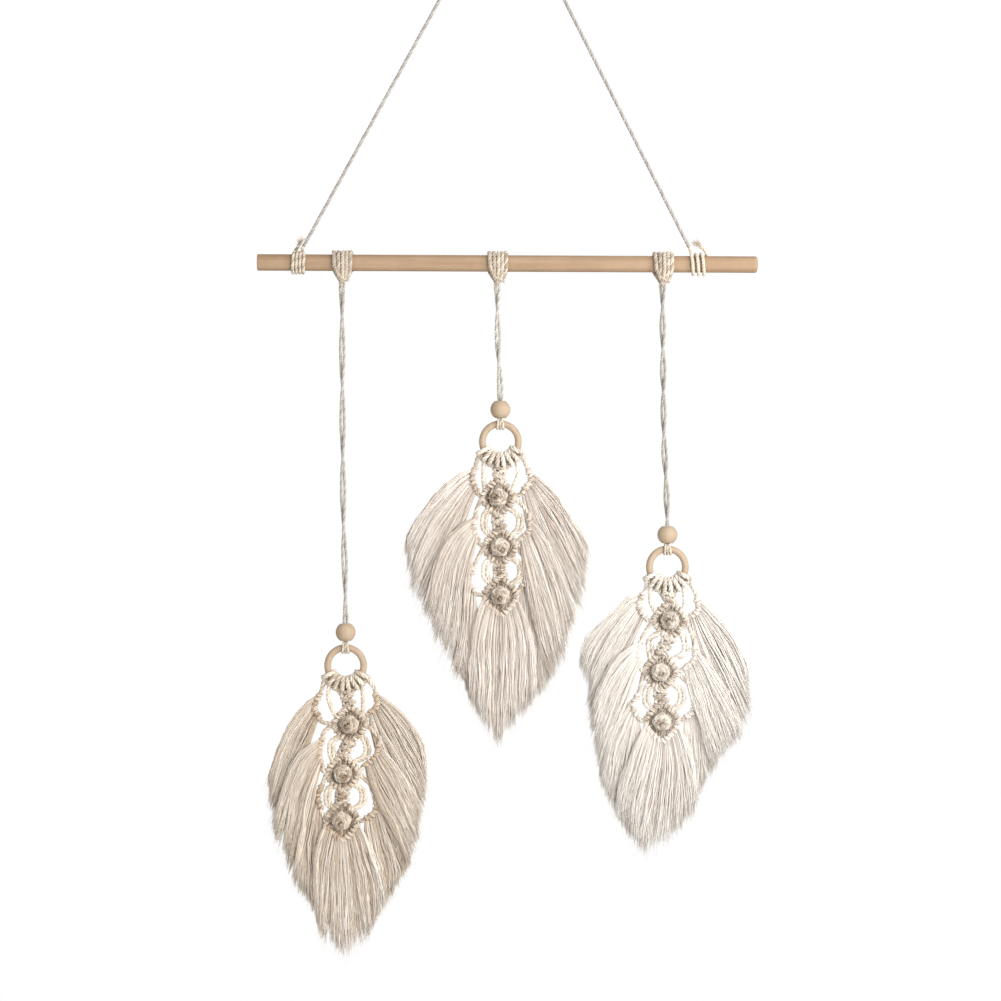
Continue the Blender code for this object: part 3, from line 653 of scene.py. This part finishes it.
def make_rod_knot(leaf, look):
    """The drop cord's loops round the rod: a V of two strands by three upright ones, gathered below."""
    x, z = leaf.cord_x, rod_height(leaf.cord_x)
    foot = z - ROD_KNOT_DROP
    pile = Pile()
    for strand in KNOT_STRANDS:
        points = [
            (x + 0.2 * strand.gather, -1.2, foot + 1.6),
            (x + strand.gather, -5.2, z + strand.gather_z),
        ]
        for degrees in ROD_KNOT_DEGREES:
            angle = math.radians(degrees)
            across = np.interp(degrees, (0, 90), (strand.top, strand.front))
            y, up = -ROD_KNOT_REACH * math.sin(angle), ROD_KNOT_REACH * math.cos(angle)
            points.append((x + across, y, z + up))
        points.append((x + 0.2 * strand.top, 1.2, foot + 1.6))
        shade = 0.5 + RNG.uniform(-0.08, 0.08)
        pile.cord(curve(points, CORD_STEP), ROD_KNOT_RADIUS, pitch=5.0, sides=5, shade=shade)
    bight = [(x + across, y, z + up) for across, y, up in BIGHT]
    pile.cord(curve(bight, CORD_STEP), BIGHT_RADIUS, pitch=5.0, sides=5, shade=0.55)
    collar = [(x + 0.2, 0.0, foot + 5.8), (x, 0.0, foot)]
    # The collar's core is dark: painted shade between the turns wound round it.
    pile.tube(curve(collar, CORE_STEP), radius=1.5, shade=0.3)
    pile.winding(collar, reach=1.9, radius=1.2, pitch=2.3)
    tuft(pile, (x, -1.5, foot - 0.5), (-0.5, 0.0, -1.0), length=4.0, spread=1.4, count=24)
    tuft(pile, (x + 3.4, -3.0, z - 13.0), (0.9, 0.0, -0.7), length=3.6, spread=1.2, count=20)
    placed(pile, "rod_knot_" + leaf.name, look)


def make_ring_loop(leaf, look):
    """The drop cord's turns round the top of the ring, and their neck under the bead."""
    ring_x, ring_z = leaf.ring
    top = ring_z + RING_RADIUS
    reach = RING_THICK + GAP + RING_LOOP_RADIUS
    pile = Pile()
    for side in (-1, 0, 1):
        points = []
        for angle in np.linspace(0.0, 2 * math.pi, 11):
            across = side * (1.9 - 0.5 * math.cos(angle))
            points.append((ring_x + across, -reach * math.sin(angle), top + reach * math.cos(angle)))
        pile.cord(curve(points, WRAP_STEP), RING_LOOP_RADIUS, pitch=5.2, shade=0.6)
    low = top + RING_THICK + 0.6
    high = ring_z + leaf.bead_rise - BEAD_HEIGHT / 2 + NECK_IN_BEAD
    for side in (-1, 1):
        neck = [(ring_x + side * 1.6, 0.0, low), (ring_x - side * 0.8, side * 0.8, high)]
        pile.cord(curve(neck, WRAP_STEP), RING_LOOP_RADIUS, shade=0.6)
    placed(pile, "ring_loop_" + leaf.name, look)


# ---- Wood ----


def turned(profile, sides, axis):
    """Points and faces of a closed profile of (radius, height) turned round X or Z."""
    profile = np.array(profile, float)
    angles = 2 * math.pi * np.arange(sides)[:, None] / sides
    radius, height = profile[:, 0], profile[:, 1]
    one, two = radius * np.cos(angles), radius * np.sin(angles)
    along = np.broadcast_to(height, one.shape)
    points = np.stack([one, two, along] if axis == "Z" else [along, one, two], -1)
    index = np.arange(one.size).reshape(one.shape)
    step = np.roll(index, -1, 0)
    faces = np.stack([index, step, np.roll(step, -1, 1), np.roll(index, -1, 1)], -1).reshape(-1, 4)
    return points, faces


def wooden(points, faces, node, look):
    pile = Pile()
    pile.add(points, [faces])
    placed(pile, node, look)


def make_rod(look):
    """A round rod: its left end is cut square and its right end is rounded off."""
    half = ROD_LENGTH / 2
    right, left = half - RIGHT_END[-1][1], LEFT_END[0][1] - half
    profile = [(radius, half - inward) for radius, inward in RIGHT_END]
    profile += [(ROD_RADIUS, x) for x in np.linspace(right, left, ROD_STRETCHES + 1)[1:-1]]
    profile += [(radius, inward - half) for radius, inward in LEFT_END]
    points, faces = turned(profile, 48, "X")
    points[..., 2] += ROD_CENTRE[1] - ROD_SLOPE * points[..., 0]
    points[..., 0] += ROD_CENTRE[0]
    wooden(points, faces[:, ::-1], "rod", look)


def make_bead(leaf, look):
    """A ball with flat ends and a bore, whose mouths have a fine edge."""
    half = BEAD_HEIGHT / 2
    start = math.acos(half / BEAD_RADIUS)
    mouth = (BEAD_BORE + BEAD_EDGE, half + 0.02)
    profile = [(BEAD_BORE, half - BEAD_EDGE), mouth]
    for angle in np.linspace(start, math.pi - start, 17):
        profile.append((BEAD_RADIUS * math.sin(angle), BEAD_RADIUS * math.cos(angle)))
    profile += [(mouth[0], -mouth[1]), (BEAD_BORE, BEAD_EDGE - half)]
    points, faces = turned(profile, 40, "Z")
    points += (leaf.ring[0], 0.0, leaf.ring[1] + leaf.bead_rise)
    wooden(points, faces, "bead_" + leaf.name, look)


def make_ring(leaf, look):
    angles = 2 * math.pi * np.arange(16) / 16
    profile = [(RING_RADIUS + RING_THICK * math.cos(a), -RING_THICK * math.sin(a)) for a in angles]
    points, faces = turned(profile, 72, "Z")
    points = points[..., (0, 2, 1)] + (leaf.ring[0], 0.0, leaf.ring[1])
    wooden(points, faces[:, ::-1], "ring_" + leaf.name, look)


# ---- Spine ----


def home(leaf, points, y=0.0):
    """A leaf's own (x, z) or (x, y, z) points, in the hanging's frame."""
    ring_x, ring_z = leaf.ring
    return np.array([(ring_x + p[0], p[1] if len(p) == 3 else y, ring_z + p[-1]) for p in points])


def lay(pile, leaf, points, radius, step=CORD_STEP, plies=3, shade=0.5):
    """A smooth cord through a leaf's own points."""
    pile.cord(curve(home(leaf, points), step), radius, plies, shade=shade)


def diamond_point(berry, degrees):
    angle = math.radians(degrees)
    across, up = math.cos(angle), math.sin(angle)
    return (
        berry[0] + math.copysign(DIAMOND[0] * abs(across) ** DIAMOND_BOW, across),
        berry[1] + math.copysign(DIAMOND[1] * abs(up) ** DIAMOND_BOW, up),
    )


def bar(pile, leaf, points, y=0.0, shade=0.48):
    """A bar of half hitches: a core with a cord wound round it."""
    line = home(leaf, points, y)
    # The core is dark: painted shade in the gaps between the turns.
    pile.tube(curve(line, PLAIN_STEP), BAR_CORE, shade=0.1)
    pile.winding(line, BAR_REACH, BAR_RADIUS, BAR_PITCH, shade, clusters=0.15)


def square_knots(pile, leaf, top, bottom, wide):
    """A short upright row of square knots: slanting turns round two core cords, with loops beside them."""
    top, bottom = np.array(top, float), np.array(bottom, float)
    y = SQUARE_LEVEL
    count = max(2, round(np.linalg.norm(top - bottom) / SQUARE_HEIGHT))
    # The core cords are dark: painted shade between the turns.
    for side in (-1, 1):
        core = [(x + side * 1.5, y, z) for x, z in (top, bottom)]
        lay(pile, leaf, core, SQUARE_CORE, CORE_STEP, shade=0.2)
    for i in range(count):
        x, z = top + (bottom - top) * (i + 0.5) / count
        slant = SQUARE_SLANT if i % 2 else -SQUARE_SLANT
        turn = []
        for angle in np.linspace(0.0, 2 * math.pi, 13) + math.pi / 2:
            across, front = math.cos(angle), math.sin(angle)
            turn.append((
                x + wide * across * (1.0 + 0.12 * (i % 2)),
                y - SQUARE_DEPTH * front * (1 - 0.25 * abs(across)),
                z + slant * across + 0.5 * math.sin(2 * angle),
            ))
        lay(pile, leaf, turn, SQUARE_RADIUS, TURN_STEP, shade=SQUARE_SHADE + RNG.uniform(-0.1, 0.1))
    for side in (-1, 1):
        for i in range(count // 2):
            x, z = top + (bottom - top) * (2 * i + 1) / count
            inner, outer = x + side * (wide - 0.6), x + side * (wide + 0.9)
            loop = [(inner, y - 1.8, z + 1.8), (outer, y - 1.2, z), (inner, y - 1.8, z - 1.8)]
            lay(pile, leaf, loop, 1.4, SMALL_STEP, plies=2, shade=SQUARE_SHADE + 0.1)


def berry(pile, leaf, centre, number):
    """A berry knot: a row of square knots rolled into a ball, whose strands swirl round an eye."""
    middle = np.array((leaf.ring[0] + centre[0], -BERRY_FORWARD, leaf.ring[1] + centre[1]))
    axis = np.array(BERRY_LEANS[number]) / np.linalg.norm(BERRY_LEANS[number])
    side = np.cross(axis, (0.0, 0.0, 1.0))
    side /= np.linalg.norm(side)
    up = np.cross(side, axis)

    def on_ball(degrees, angle, reach):
        """Points of a ball, so many degrees from its eye and at an angle round it."""
        polar, angle = np.radians(degrees)[:, None], angle[:, None]
        return middle + reach[:, None] * (
            np.cos(polar) * axis + np.sin(polar) * (np.cos(angle) * side + np.sin(angle) * up)
        )

    # The core is dark, and the swirls are darker where they start at the eye: painted shade in the berry's
    # eye.
    core = middle + np.outer(np.linspace(-5.0, 4.6, 9), axis)
    pile.tube(core, 5.0 * np.sin(np.linspace(0.5, 2.6, 9)), sides=12, shade=0.0)
    for start in (0.0, math.pi):
        share = np.linspace(0.0, 1.0, 49)
        angle = start + 2 * math.pi * SWIRL_TURNS * share
        reach = BERRY_RADIUS * (1 + 0.06 * np.sin(5 * angle))
        swirl = curve(on_ball(np.interp(share, (0, 1), SWIRL_SPAN), angle, reach), TURN_STEP)
        shade = np.interp(np.linspace(0, 1, len(swirl)), (0, 0.25, 1), (0.15, 0.45, 0.5))
        pile.cord(swirl, SWIRL_RADIUS, pitch=4.6, shade=shade)
    for i, start in enumerate(CROSSING_STARTS):
        share = np.array((0.0, 0.5, 1.0))
        reach = BERRY_RADIUS + np.sin(math.pi * share)
        crossing = on_ball(np.interp(share, (0, 1), CROSSING_SPAN), start + share, reach)
        pile.cord(curve(crossing, SMALL_STEP), CROSSING_RADIUS, plies=2, shade=0.5 + 0.08 * (i % 2))


def ring_wraps(pile, leaf):
    """Cords looped over the lower half of the ring, and the arc of knots under them."""
    start, end = WRAP_SPAN
    for i in range(WRAPS):
        angle = math.radians(start + (end - start) * i / (WRAPS - 1))
        out = np.array((math.cos(angle), 0.0, math.sin(angle)))
        aside = np.array((-math.sin(angle), 0.0, math.cos(angle))) * (0.3 if i % 2 else -0.3)
        centre = np.array((leaf.ring[0], 0.0, leaf.ring[1])) + out * RING_RADIUS
        points = []
        for turn in np.linspace(0.0, 2 * math.pi, 13):
            shift = aside * (0.5 + 0.5 * math.cos(turn))
            outward = out * (0.7 + (WRAP_REACH + 0.7) * math.cos(turn))
            points.append(centre + shift + outward + (0.0, -WRAP_REACH * math.sin(turn), 0.0))
        pile.cord(curve(points, WRAP_STEP), WRAP_RADIUS, shade=0.66 + RNG.uniform(-0.06, 0.06))
    angles = np.radians(np.linspace(start - 2, end + 2, 9))
    outer, inner = (
        home(leaf, np.stack([radius * np.cos(angles), radius * np.sin(angles)], -1), y=0.8)
        for radius in (RING_RADIUS + WRAP_REACH + 0.6, RING_RADIUS + 3.6)
    )
    # Both tubes are dark: the inner one fills in behind the wraps and the outer one is the core under the
    # knots, as painted shade.
    pile.tube(curve(inner, PLAIN_STEP), radius=1.6, shade=0.3)
    pile.tube(curve(outer, PLAIN_STEP), radius=1.4, shade=0.1)
    pile.winding(outer, reach=1.3, radius=1.6, pitch=3.8, shade=0.45, clusters=0.2)


def side_cords(pile, leaf, side):
    """The cords that lead to each row of fringe knots and from it back to the spine."""
    sign = SIGNS[side]
    corner_degrees = 0 if side == "right" else 180
    source_x, source_z = sign * RING_EXIT[0], RING_EXIT[1]
    for centre, tier, head in zip(leaf.berries, TIERS, HEADS[leaf.name, side]):
        start, middle, end = (np.array(p) for p in (head.start, head.middle, head.end))
        into = (middle - start) / np.linalg.norm(middle - start)
        out = (end - middle) / np.linalg.norm(end - middle)
        corner_x, corner_z = diamond_point(centre, corner_degrees)
        (join_x, join_z), (near_x, near_z) = start - into * LEAD_BEFORE, start + into * LEAD_PAST
        level = tier.layer * BAR_LAYER
        lead = [(source_x, 0.0, source_z), (join_x, level * 0.5, join_z), (near_x, level, near_z)]
        lay(pile, leaf, lead, LEAD_RADIUS, shade=0.55)
        (last_x, last_z), (turn_x, turn_z) = end - out * BACK_BEFORE, end + out * BACK_PAST
        home_x = corner_x - sign * CORNER_INSET
        back = [(last_x, level, last_z), (turn_x, level, turn_z), (home_x, 0.0, corner_z)]
        lay(pile, leaf, back, LEAD_RADIUS)
        source_x, source_z = corner_x, corner_z


def side_arcs(pile, leaf, side):
    """The two plain cords, one in the other's bow, that bow out beside each square knot."""
    sign = SIGNS[side]
    for above, below in zip(leaf.berries, leaf.berries[1:]):
        bow_x = (above[0] + below[0]) / 2 + ARC_REACH[side]
        middle_z = (above[1] + below[1]) / 2
        for nest in (0.0, ARC_NEST):
            aside = sign * ARC_FOOT[0] + 0.6 * nest
            arc = [
                (above[0] + aside, above[1] - ARC_FOOT[1]),
                (bow_x + nest, middle_z + ARC_HALF),
                (bow_x + nest, middle_z - ARC_HALF),
                (below[0] + aside, below[1] + ARC_FOOT[1]),
            ]
            lay(pile, leaf, arc, PLAIN_RADIUS, shade=0.65)


def diamond(pile, leaf, number):
    """Ridged bars round a berry, and upright cords behind it. The last diamond's lower V is the tip's."""
    x, z = leaf.berries[number]
    last = number == len(leaf.berries) - 1
    for first in (-2, 88) if last else (-2, 88, 178, 268):
        bar(pile, leaf, [diamond_point((x, z), degrees) for degrees in np.linspace(first, first + 94, 6)])
    berry(pile, leaf, (x, z), number)
    for across in np.linspace(-FILLER_SPAN, FILLER_SPAN, FILLERS):
        rise = DIAMOND[1] * (1 - abs(across / DIAMOND[0]) ** (2 / DIAMOND_BOW)) ** (DIAMOND_BOW / 2)
        fall = rise + (TIP_PART if last else 0.0)
        filler_x, back = x + across, 1.6 - 0.12 * abs(across)
        filler = [(filler_x, 0.6, z + rise), (filler_x, back, z), (filler_x, 0.6, z - fall)]
        # The cords behind are dark: painted shade behind the bars and the berry.
        shade = 0.26 + RNG.uniform(-0.08, 0.12)
        lay(pile, leaf, filler, FILLER_RADIUS, PLAIN_STEP, plies=2, shade=shade)


def make_spine(leaf, look):
    pile = Pile()
    ring_wraps(pile, leaf)
    first_x, first_z = leaf.berries[0]
    top_z = -RING_RADIUS - RING_THICK - 2.0
    for sign in (-1, 1):
        outer = [(sign * 13.0, -14.0), (sign * 13.8, -27.0), (first_x + sign * 10.6, first_z + 5.0)]
        lay(pile, leaf, outer, PLAIN_RADIUS, WRAP_STEP, shade=0.7)
        inner = [(sign * 7.6, top_z + 1.0), (sign * 3.6, top_z - 4.5), (sign * 2.0, top_z - 8.0)]
        lay(pile, leaf, inner, 1.6, WRAP_STEP)
    square_knots(pile, leaf, (0.4, top_z - 1.0), (first_x, first_z + DIAMOND[1] + 1.0), wide=3.8)
    for number in range(len(leaf.berries)):
        diamond(pile, leaf, number)
    for above, below in zip(leaf.berries, leaf.berries[1:]):
        top, bottom = (above[0], above[1] - DIAMOND[1] + 0.6), (below[0], below[1] + DIAMOND[1] - 0.6)
        square_knots(pile, leaf, top, bottom, wide=4.2)
    for side in SIGNS:
        side_cords(pile, leaf, side)
        side_arcs(pile, leaf, side)
    placed(pile, "spine_" + leaf.name, look)


# ---- Fringe ----


def edge_x(leaf, z, side):
    """How far the fringe reaches to that side at each height."""
    heights, reaches = [*EDGE_HEIGHTS, leaf.tip[1]], [*leaf.edges[side], leaf.tip[0]]
    return np.interp(z, heights[::-1], reaches[::-1])


def between(pair, share):
    return pair[0] + (pair[1] - pair[0]) * share


def at_share(line, share):
    """The points at those shares of a line's length."""
    run = run_of(line)
    at = np.clip(share, 0.0, 1.0) * run[-1]
    return np.stack([np.interp(at, run, line[:, axis]) for axis in range(line.shape[1])], -1)


def swing(root, end, leave, arrive, sign, t):
    """Points at each t of curves that leave their roots at one slope and end at another."""
    leave, arrive = np.radians(leave), np.radians(arrive)
    pull = STRAND_PULL * np.linalg.norm(end - root, axis=-1, keepdims=True)
    one = root + pull * np.stack([sign * np.cos(leave), -np.sin(leave)], -1)
    two = end - pull * np.stack([sign * np.cos(arrive), -np.sin(arrive)], -1)
    u = 1 - t
    return root * u**3 + 3 * one * u * u * t + 3 * two * u * t * t + end * t**3


def comb(pile, leaf, shape, tier, span):
    """Combed strands in wisps, and wisps in locks. shape(share, t) is a point of the fan in the leaf."""
    locks, wisps = tier.locks, tier.wisps
    total = wisps * STRANDS
    t = np.linspace(0.0, 1.0, STRAND_POINTS)[None, :]
    wisp_share = (np.arange(wisps) + RNG.uniform(0, 1, wisps)) / wisps
    wisp_depth = RNG.uniform(-1, 1, wisps)
    wisp_shade = RNG.normal(0, 0.1, wisps)
    lock_shade = RNG.normal(0, 0.06, locks)
    lock_wave = RNG.uniform(0, 2 * math.pi, locks)
    lock_layer = RNG.uniform(-0.6, 0.6, locks)
    lock_reach = RNG.uniform(0.97, 1.01, locks)
    partings = (np.arange(locks + 1) + np.r_[0, RNG.uniform(-0.3, 0.3, locks - 1), 0]) / locks

    # Each strand's wisp and lock, how far it lies from the lock's middle, and its place in the wisp.
    wisp = np.repeat(np.arange(wisps), STRANDS)
    share = wisp_share[wisp]
    lock = np.clip(np.searchsorted(partings, share) - 1, 0, locks - 1)
    width = partings[lock + 1] - partings[lock]
    inside = 2 * (share - partings[lock]) / width - 1
    around = RNG.uniform(0, 2 * math.pi, total)
    out = np.sqrt(RNG.uniform(0, 1, total))

    # The fan's own points: the strands of a lock draw together, so partings open between the locks.
    pinch = np.interp(t, *LOCK_PINCH) * (-inside * width / 2)[:, None]
    wisp_reach = RNG.uniform(0.95, 1.01, wisps)
    reach = lock_reach[lock] * wisp_reach[wisp] * RNG.uniform(0.94, 1.02, total)
    flat = shape(np.interp(share[:, None] + pinch, (0, 1), span), t * reach[:, None])

    # How far each strand strays from them, aside and in depth.
    spread = np.interp(t, *WISP_SPREAD)
    wave = np.sin(lock_wave[lock][:, None] + 4.5 * t) * 0.8 * t
    wisp_phase, wisp_turns = RNG.uniform(0, 2 * math.pi, wisps), RNG.uniform(5, 11, wisps)
    sway = 0.9 * np.sin(wisp_phase[wisp][:, None] + wisp_turns[wisp][:, None] * t)
    crinkle = RNG.normal(0, 0.5, (total, STRAND_POINTS))
    loose = np.minimum(1, 3 * t)
    aside = (np.cos(around) * out)[:, None] * spread + wave + (sway + crinkle) * loose
    crown = 0.9 + 1.3 * (1 - inside**2)
    depth = (wisp_depth[wisp] * crown)[:, None] * np.interp(t, *WISP_LIFT)
    depth = depth + (np.sin(around) * out)[:, None] * spread + lock_layer[lock][:, None] * loose

    paths = np.empty((total, STRAND_POINTS, 3))
    slope = np.gradient(flat, axis=1)
    slope /= np.linalg.norm(slope, axis=2)[:, :, None]
    paths[:, :, 0] = leaf.ring[0] + flat[:, :, 0] - slope[:, :, 1] * aside
    paths[:, :, 1] = STRAND_LAYER * tier.layer + depth
    paths[:, :, 2] = leaf.ring[1] + flat[:, :, 1] + slope[:, :, 0] * aside
    # Painted shade: each lock's edges are darker, in its partings, and tuck darkens the strands where another
    # tier lies over them. Each strand is also darker towards its root.
    tuck = np.interp(share, (0.0, 0.16, 0.7, 1.0), (-tier.tuck[0], 0.0, 0.0, -tier.tuck[1]))
    shade = 0.72 - 0.2 * np.abs(inside) ** 6 + tuck + lock_shade[lock] + wisp_shade[wisp]
    radius = STRAND_RADIUS * RNG.uniform(0.75, 1.3, total)
    pile.hairs(paths, radius, shade[:, None] - 0.12 * (1 - t) ** 2)


def flyaways(pile, leaf, shape, layer, count):
    """Loose hairs that stray from the fan and soften its edge."""
    t = np.linspace(0.0, 1.0, STRAND_POINTS)[None, :]
    share = RNG.uniform(-0.03, 1.03, count)[:, None]
    begin = RNG.uniform(0.1, 0.7, count)[:, None]
    flat = shape(share, between((begin, 1.04), t))
    stray = RNG.normal(0, 2.4, (count, 1)) * t**2 + RNG.normal(0, 1.2, (count, 1)) * np.sin(4 * t)
    paths = np.empty((count, STRAND_POINTS, 3))
    paths[:, :, 0] = leaf.ring[0] + flat[:, :, 0] + stray
    paths[:, :, 2] = leaf.ring[1] + flat[:, :, 1] + stray * 0.5
    paths[:, :, 1] = layer + RNG.normal(0, 2.0, (count, 1)) + RNG.normal(0, 1.5, (count, 1)) * t
    pile.hairs(paths, FLYAWAY_RADIUS, shade=0.85)


def make_side_fringe(leaf, side, tier, head, look):
    """One tier of fringe on one side. The upper tier's first strands follow the leaf's outline."""
    level = tier.layer * BAR_LAYER
    route = [(x, level, z) for x, z in (head.start, head.middle, head.end)]
    line = curve(route, HEAD_STEP)[:, (0, 2)]
    leaves, last = (tier.left_leave, tier.left_last) if side == "left" else (tier.leave, tier.span[1])
    heights = np.linspace(head.start[1] - 3.0, head.strand_ends[0], 16)
    outline = np.vstack([head.start, np.stack([edge_x(leaf, heights, side), heights], -1)])

    def shape(share, t):
        share, t = np.broadcast_arrays(share, t)
        root = at_share(line, SIDE_ROOTS[0] + SIDE_ROOTS[1] * share)
        z = between(head.strand_ends, share)
        end = np.stack([edge_x(leaf, z, side), z], -1)
        leave, arrive = between(leaves, share), between(tier.arrive, share)
        hang = swing(root, end, leave, arrive, SIGNS[side], t[..., None])
        if tier.name != "upper":
            return hang
        follow = np.clip(1.0 - share / OUTLINE_SHARE, 0.0, 1.0)[..., None]
        return hang * (1 - follow) + at_share(outline, t) * follow

    pile = Pile()
    bar(pile, leaf, curve(route, BAR_STEP)[:, (0, 2)], level, HEAD_SHADE)
    comb(pile, leaf, shape, tier, (tier.span[0], last))
    flyaways(pile, leaf, shape, tier.layer, SIDE_FLYAWAYS)
    placed(pile, f"fringe_{leaf.name}_{side}_{tier.name}", look)


def make_tip_fringe(leaf, look):
    """The last diamond's lower V, and the strands that hang from it to the leaf's tip."""
    points = [diamond_point(leaf.berries[-1], degrees) for degrees in np.linspace(180, 360, 13)]
    points = [(x, z - TIP_PART) for x, z in points]
    line = curve([(x, 0.0, z) for x, z in points], HEAD_STEP)[:, (0, 2)]
    left_end, right_end = (HEADS[leaf.name, side][-1].strand_ends[1] for side in SIGNS)

    def shape(share, t):
        share, t = np.broadcast_arrays(share, t)
        root = at_share(line, TIP_ROOTS[0] + TIP_ROOTS[1] * share)
        on_left, outward = share < 0.5, np.abs(2 * share - 1)
        z = between((leaf.tip[1], np.where(on_left, left_end, right_end)), outward)
        end = np.stack([np.where(on_left, edge_x(leaf, z, "left"), edge_x(leaf, z, "right")), z], -1)
        inward = 1 - np.minimum(1.0, outward)
        leave, arrive = between(TIP.leave, inward), between(TIP.arrive, inward)
        return swing(root, end, leave, arrive, np.where(on_left, -1.0, 1.0), t[..., None])

    pile = Pile()
    for half in (points[:7], points[6:]):
        bar(pile, leaf, half, TIP.layer * BAR_LAYER, HEAD_SHADE)
    comb(pile, leaf, shape, TIP, TIP.span)
    flyaways(pile, leaf, shape, TIP.layer, TIP_FLYAWAYS)
    placed(pile, f"fringe_{leaf.name}_tip", look)


# ---- Studio ----


def make_camera():
    data = bpy.data.cameras.new("camera")
    data.lens = LENS
    data.sensor_width = SENSOR
    data.sensor_fit = "AUTO"
    data.clip_end = 20.0
    camera = added("camera", data)
    camera.location = (FRAME_CENTRE[0] * MM, -CAMERA_DISTANCE * MM, FRAME_CENTRE[1] * MM)
    camera.rotation_euler = (math.pi / 2, 0.0, 0.0)
    bpy.context.scene.camera = camera


def make_light(name, place, size, power):
    data = bpy.data.lights.new(name, "AREA")
    data.shape = "DISK"
    data.size = size
    data.energy = power
    light = added(name, data)
    light.location = place
    x, y, z = np.array(LIGHT_AIM) - np.array(place)
    light.rotation_euler = (math.atan2(math.hypot(x, y), -z), 0.0, math.atan2(-x, y))


def make_room():
    """White to the camera, and a little dimmer as a light."""
    world = bpy.data.worlds.new("white_room")
    world.use_nodes = True
    tree = world.node_tree
    seen = tree.nodes["Background"]
    seen.inputs["Color"].default_value = (1.0, 1.0, 1.0, 1.0)
    seen.inputs["Strength"].default_value = 1.0
    glow = tree.nodes.new("ShaderNodeBackground")
    glow.inputs["Color"].default_value = ROOM_TONE
    glow.inputs["Strength"].default_value = ROOM_STRENGTH
    mix = tree.nodes.new("ShaderNodeMixShader")
    path = tree.nodes.new("ShaderNodeLightPath")
    tree.links.new(path.outputs["Is Camera Ray"], mix.inputs["Fac"])
    tree.links.new(glow.outputs["Background"], mix.inputs[1])
    tree.links.new(seen.outputs["Background"], mix.inputs[2])
    tree.links.new(mix.outputs["Shader"], tree.nodes["World Output"].inputs["Surface"])
    bpy.context.scene.world = world


def make_floor():
    look = Look("pale_floor", roughness=0.9)
    look.shader.inputs["Base Color"].default_value = FLOOR_TONE
    signs = ((-1, -1), (1, -1), (1, 1), (-1, 1))
    corners = [(x * FLOOR_HALF, y * FLOOR_HALF, FLOOR_HEIGHT) for x, y in signs]
    mesh = bpy.data.meshes.new("floor")
    mesh.from_pydata(corners, [], [(0, 1, 2, 3)])
    mesh.materials.append(look.material)
    floor = added("floor", mesh)


def make_studio():
    """White all round, soft light from the right, and a pale floor below the hanging."""
    bpy.context.scene.view_settings.view_transform = "Standard"
    make_room()
    for light in LIGHTS:
        make_light(*light)
    make_floor()


def main():
    make_camera()
    hitch_look = cotton("cotton_hitches", HITCH_TONES)
    line_look = cotton("cotton_lines", LINE_TONES)
    rod_look = wood("rod_wood", ROD_TONES, stretch=(0.04, 1.0, 1.0), scale=300.0)
    bead_look = wood("bead_wood", BEAD_TONES, stretch=(1.0, 1.0, 0.12), scale=350.0)
    make_hanging_cord(line_look)
    make_rod(rod_look)
    for hitch in HITCHES:
        make_hitch(hitch, hitch_look)
    for leaf in LEAVES:
        fringe_look = cotton("fringe_" + leaf.name, FRINGE_TONES[leaf.name])
        make_drop_cord(leaf, line_look)
        make_rod_knot(leaf, hitch_look)
        make_bead(leaf, bead_look)
        make_ring(leaf, bead_look)
        make_ring_loop(leaf, hitch_look)
        make_spine(leaf, cotton("knots_" + leaf.name, KNOT_TONES[leaf.name]))
        for number, tier in enumerate(TIERS):
            for side in SIGNS:
                make_side_fringe(leaf, side, tier, HEADS[leaf.name, side][number], fringe_look)
        make_tip_fringe(leaf, fringe_look)
    make_studio()


main()
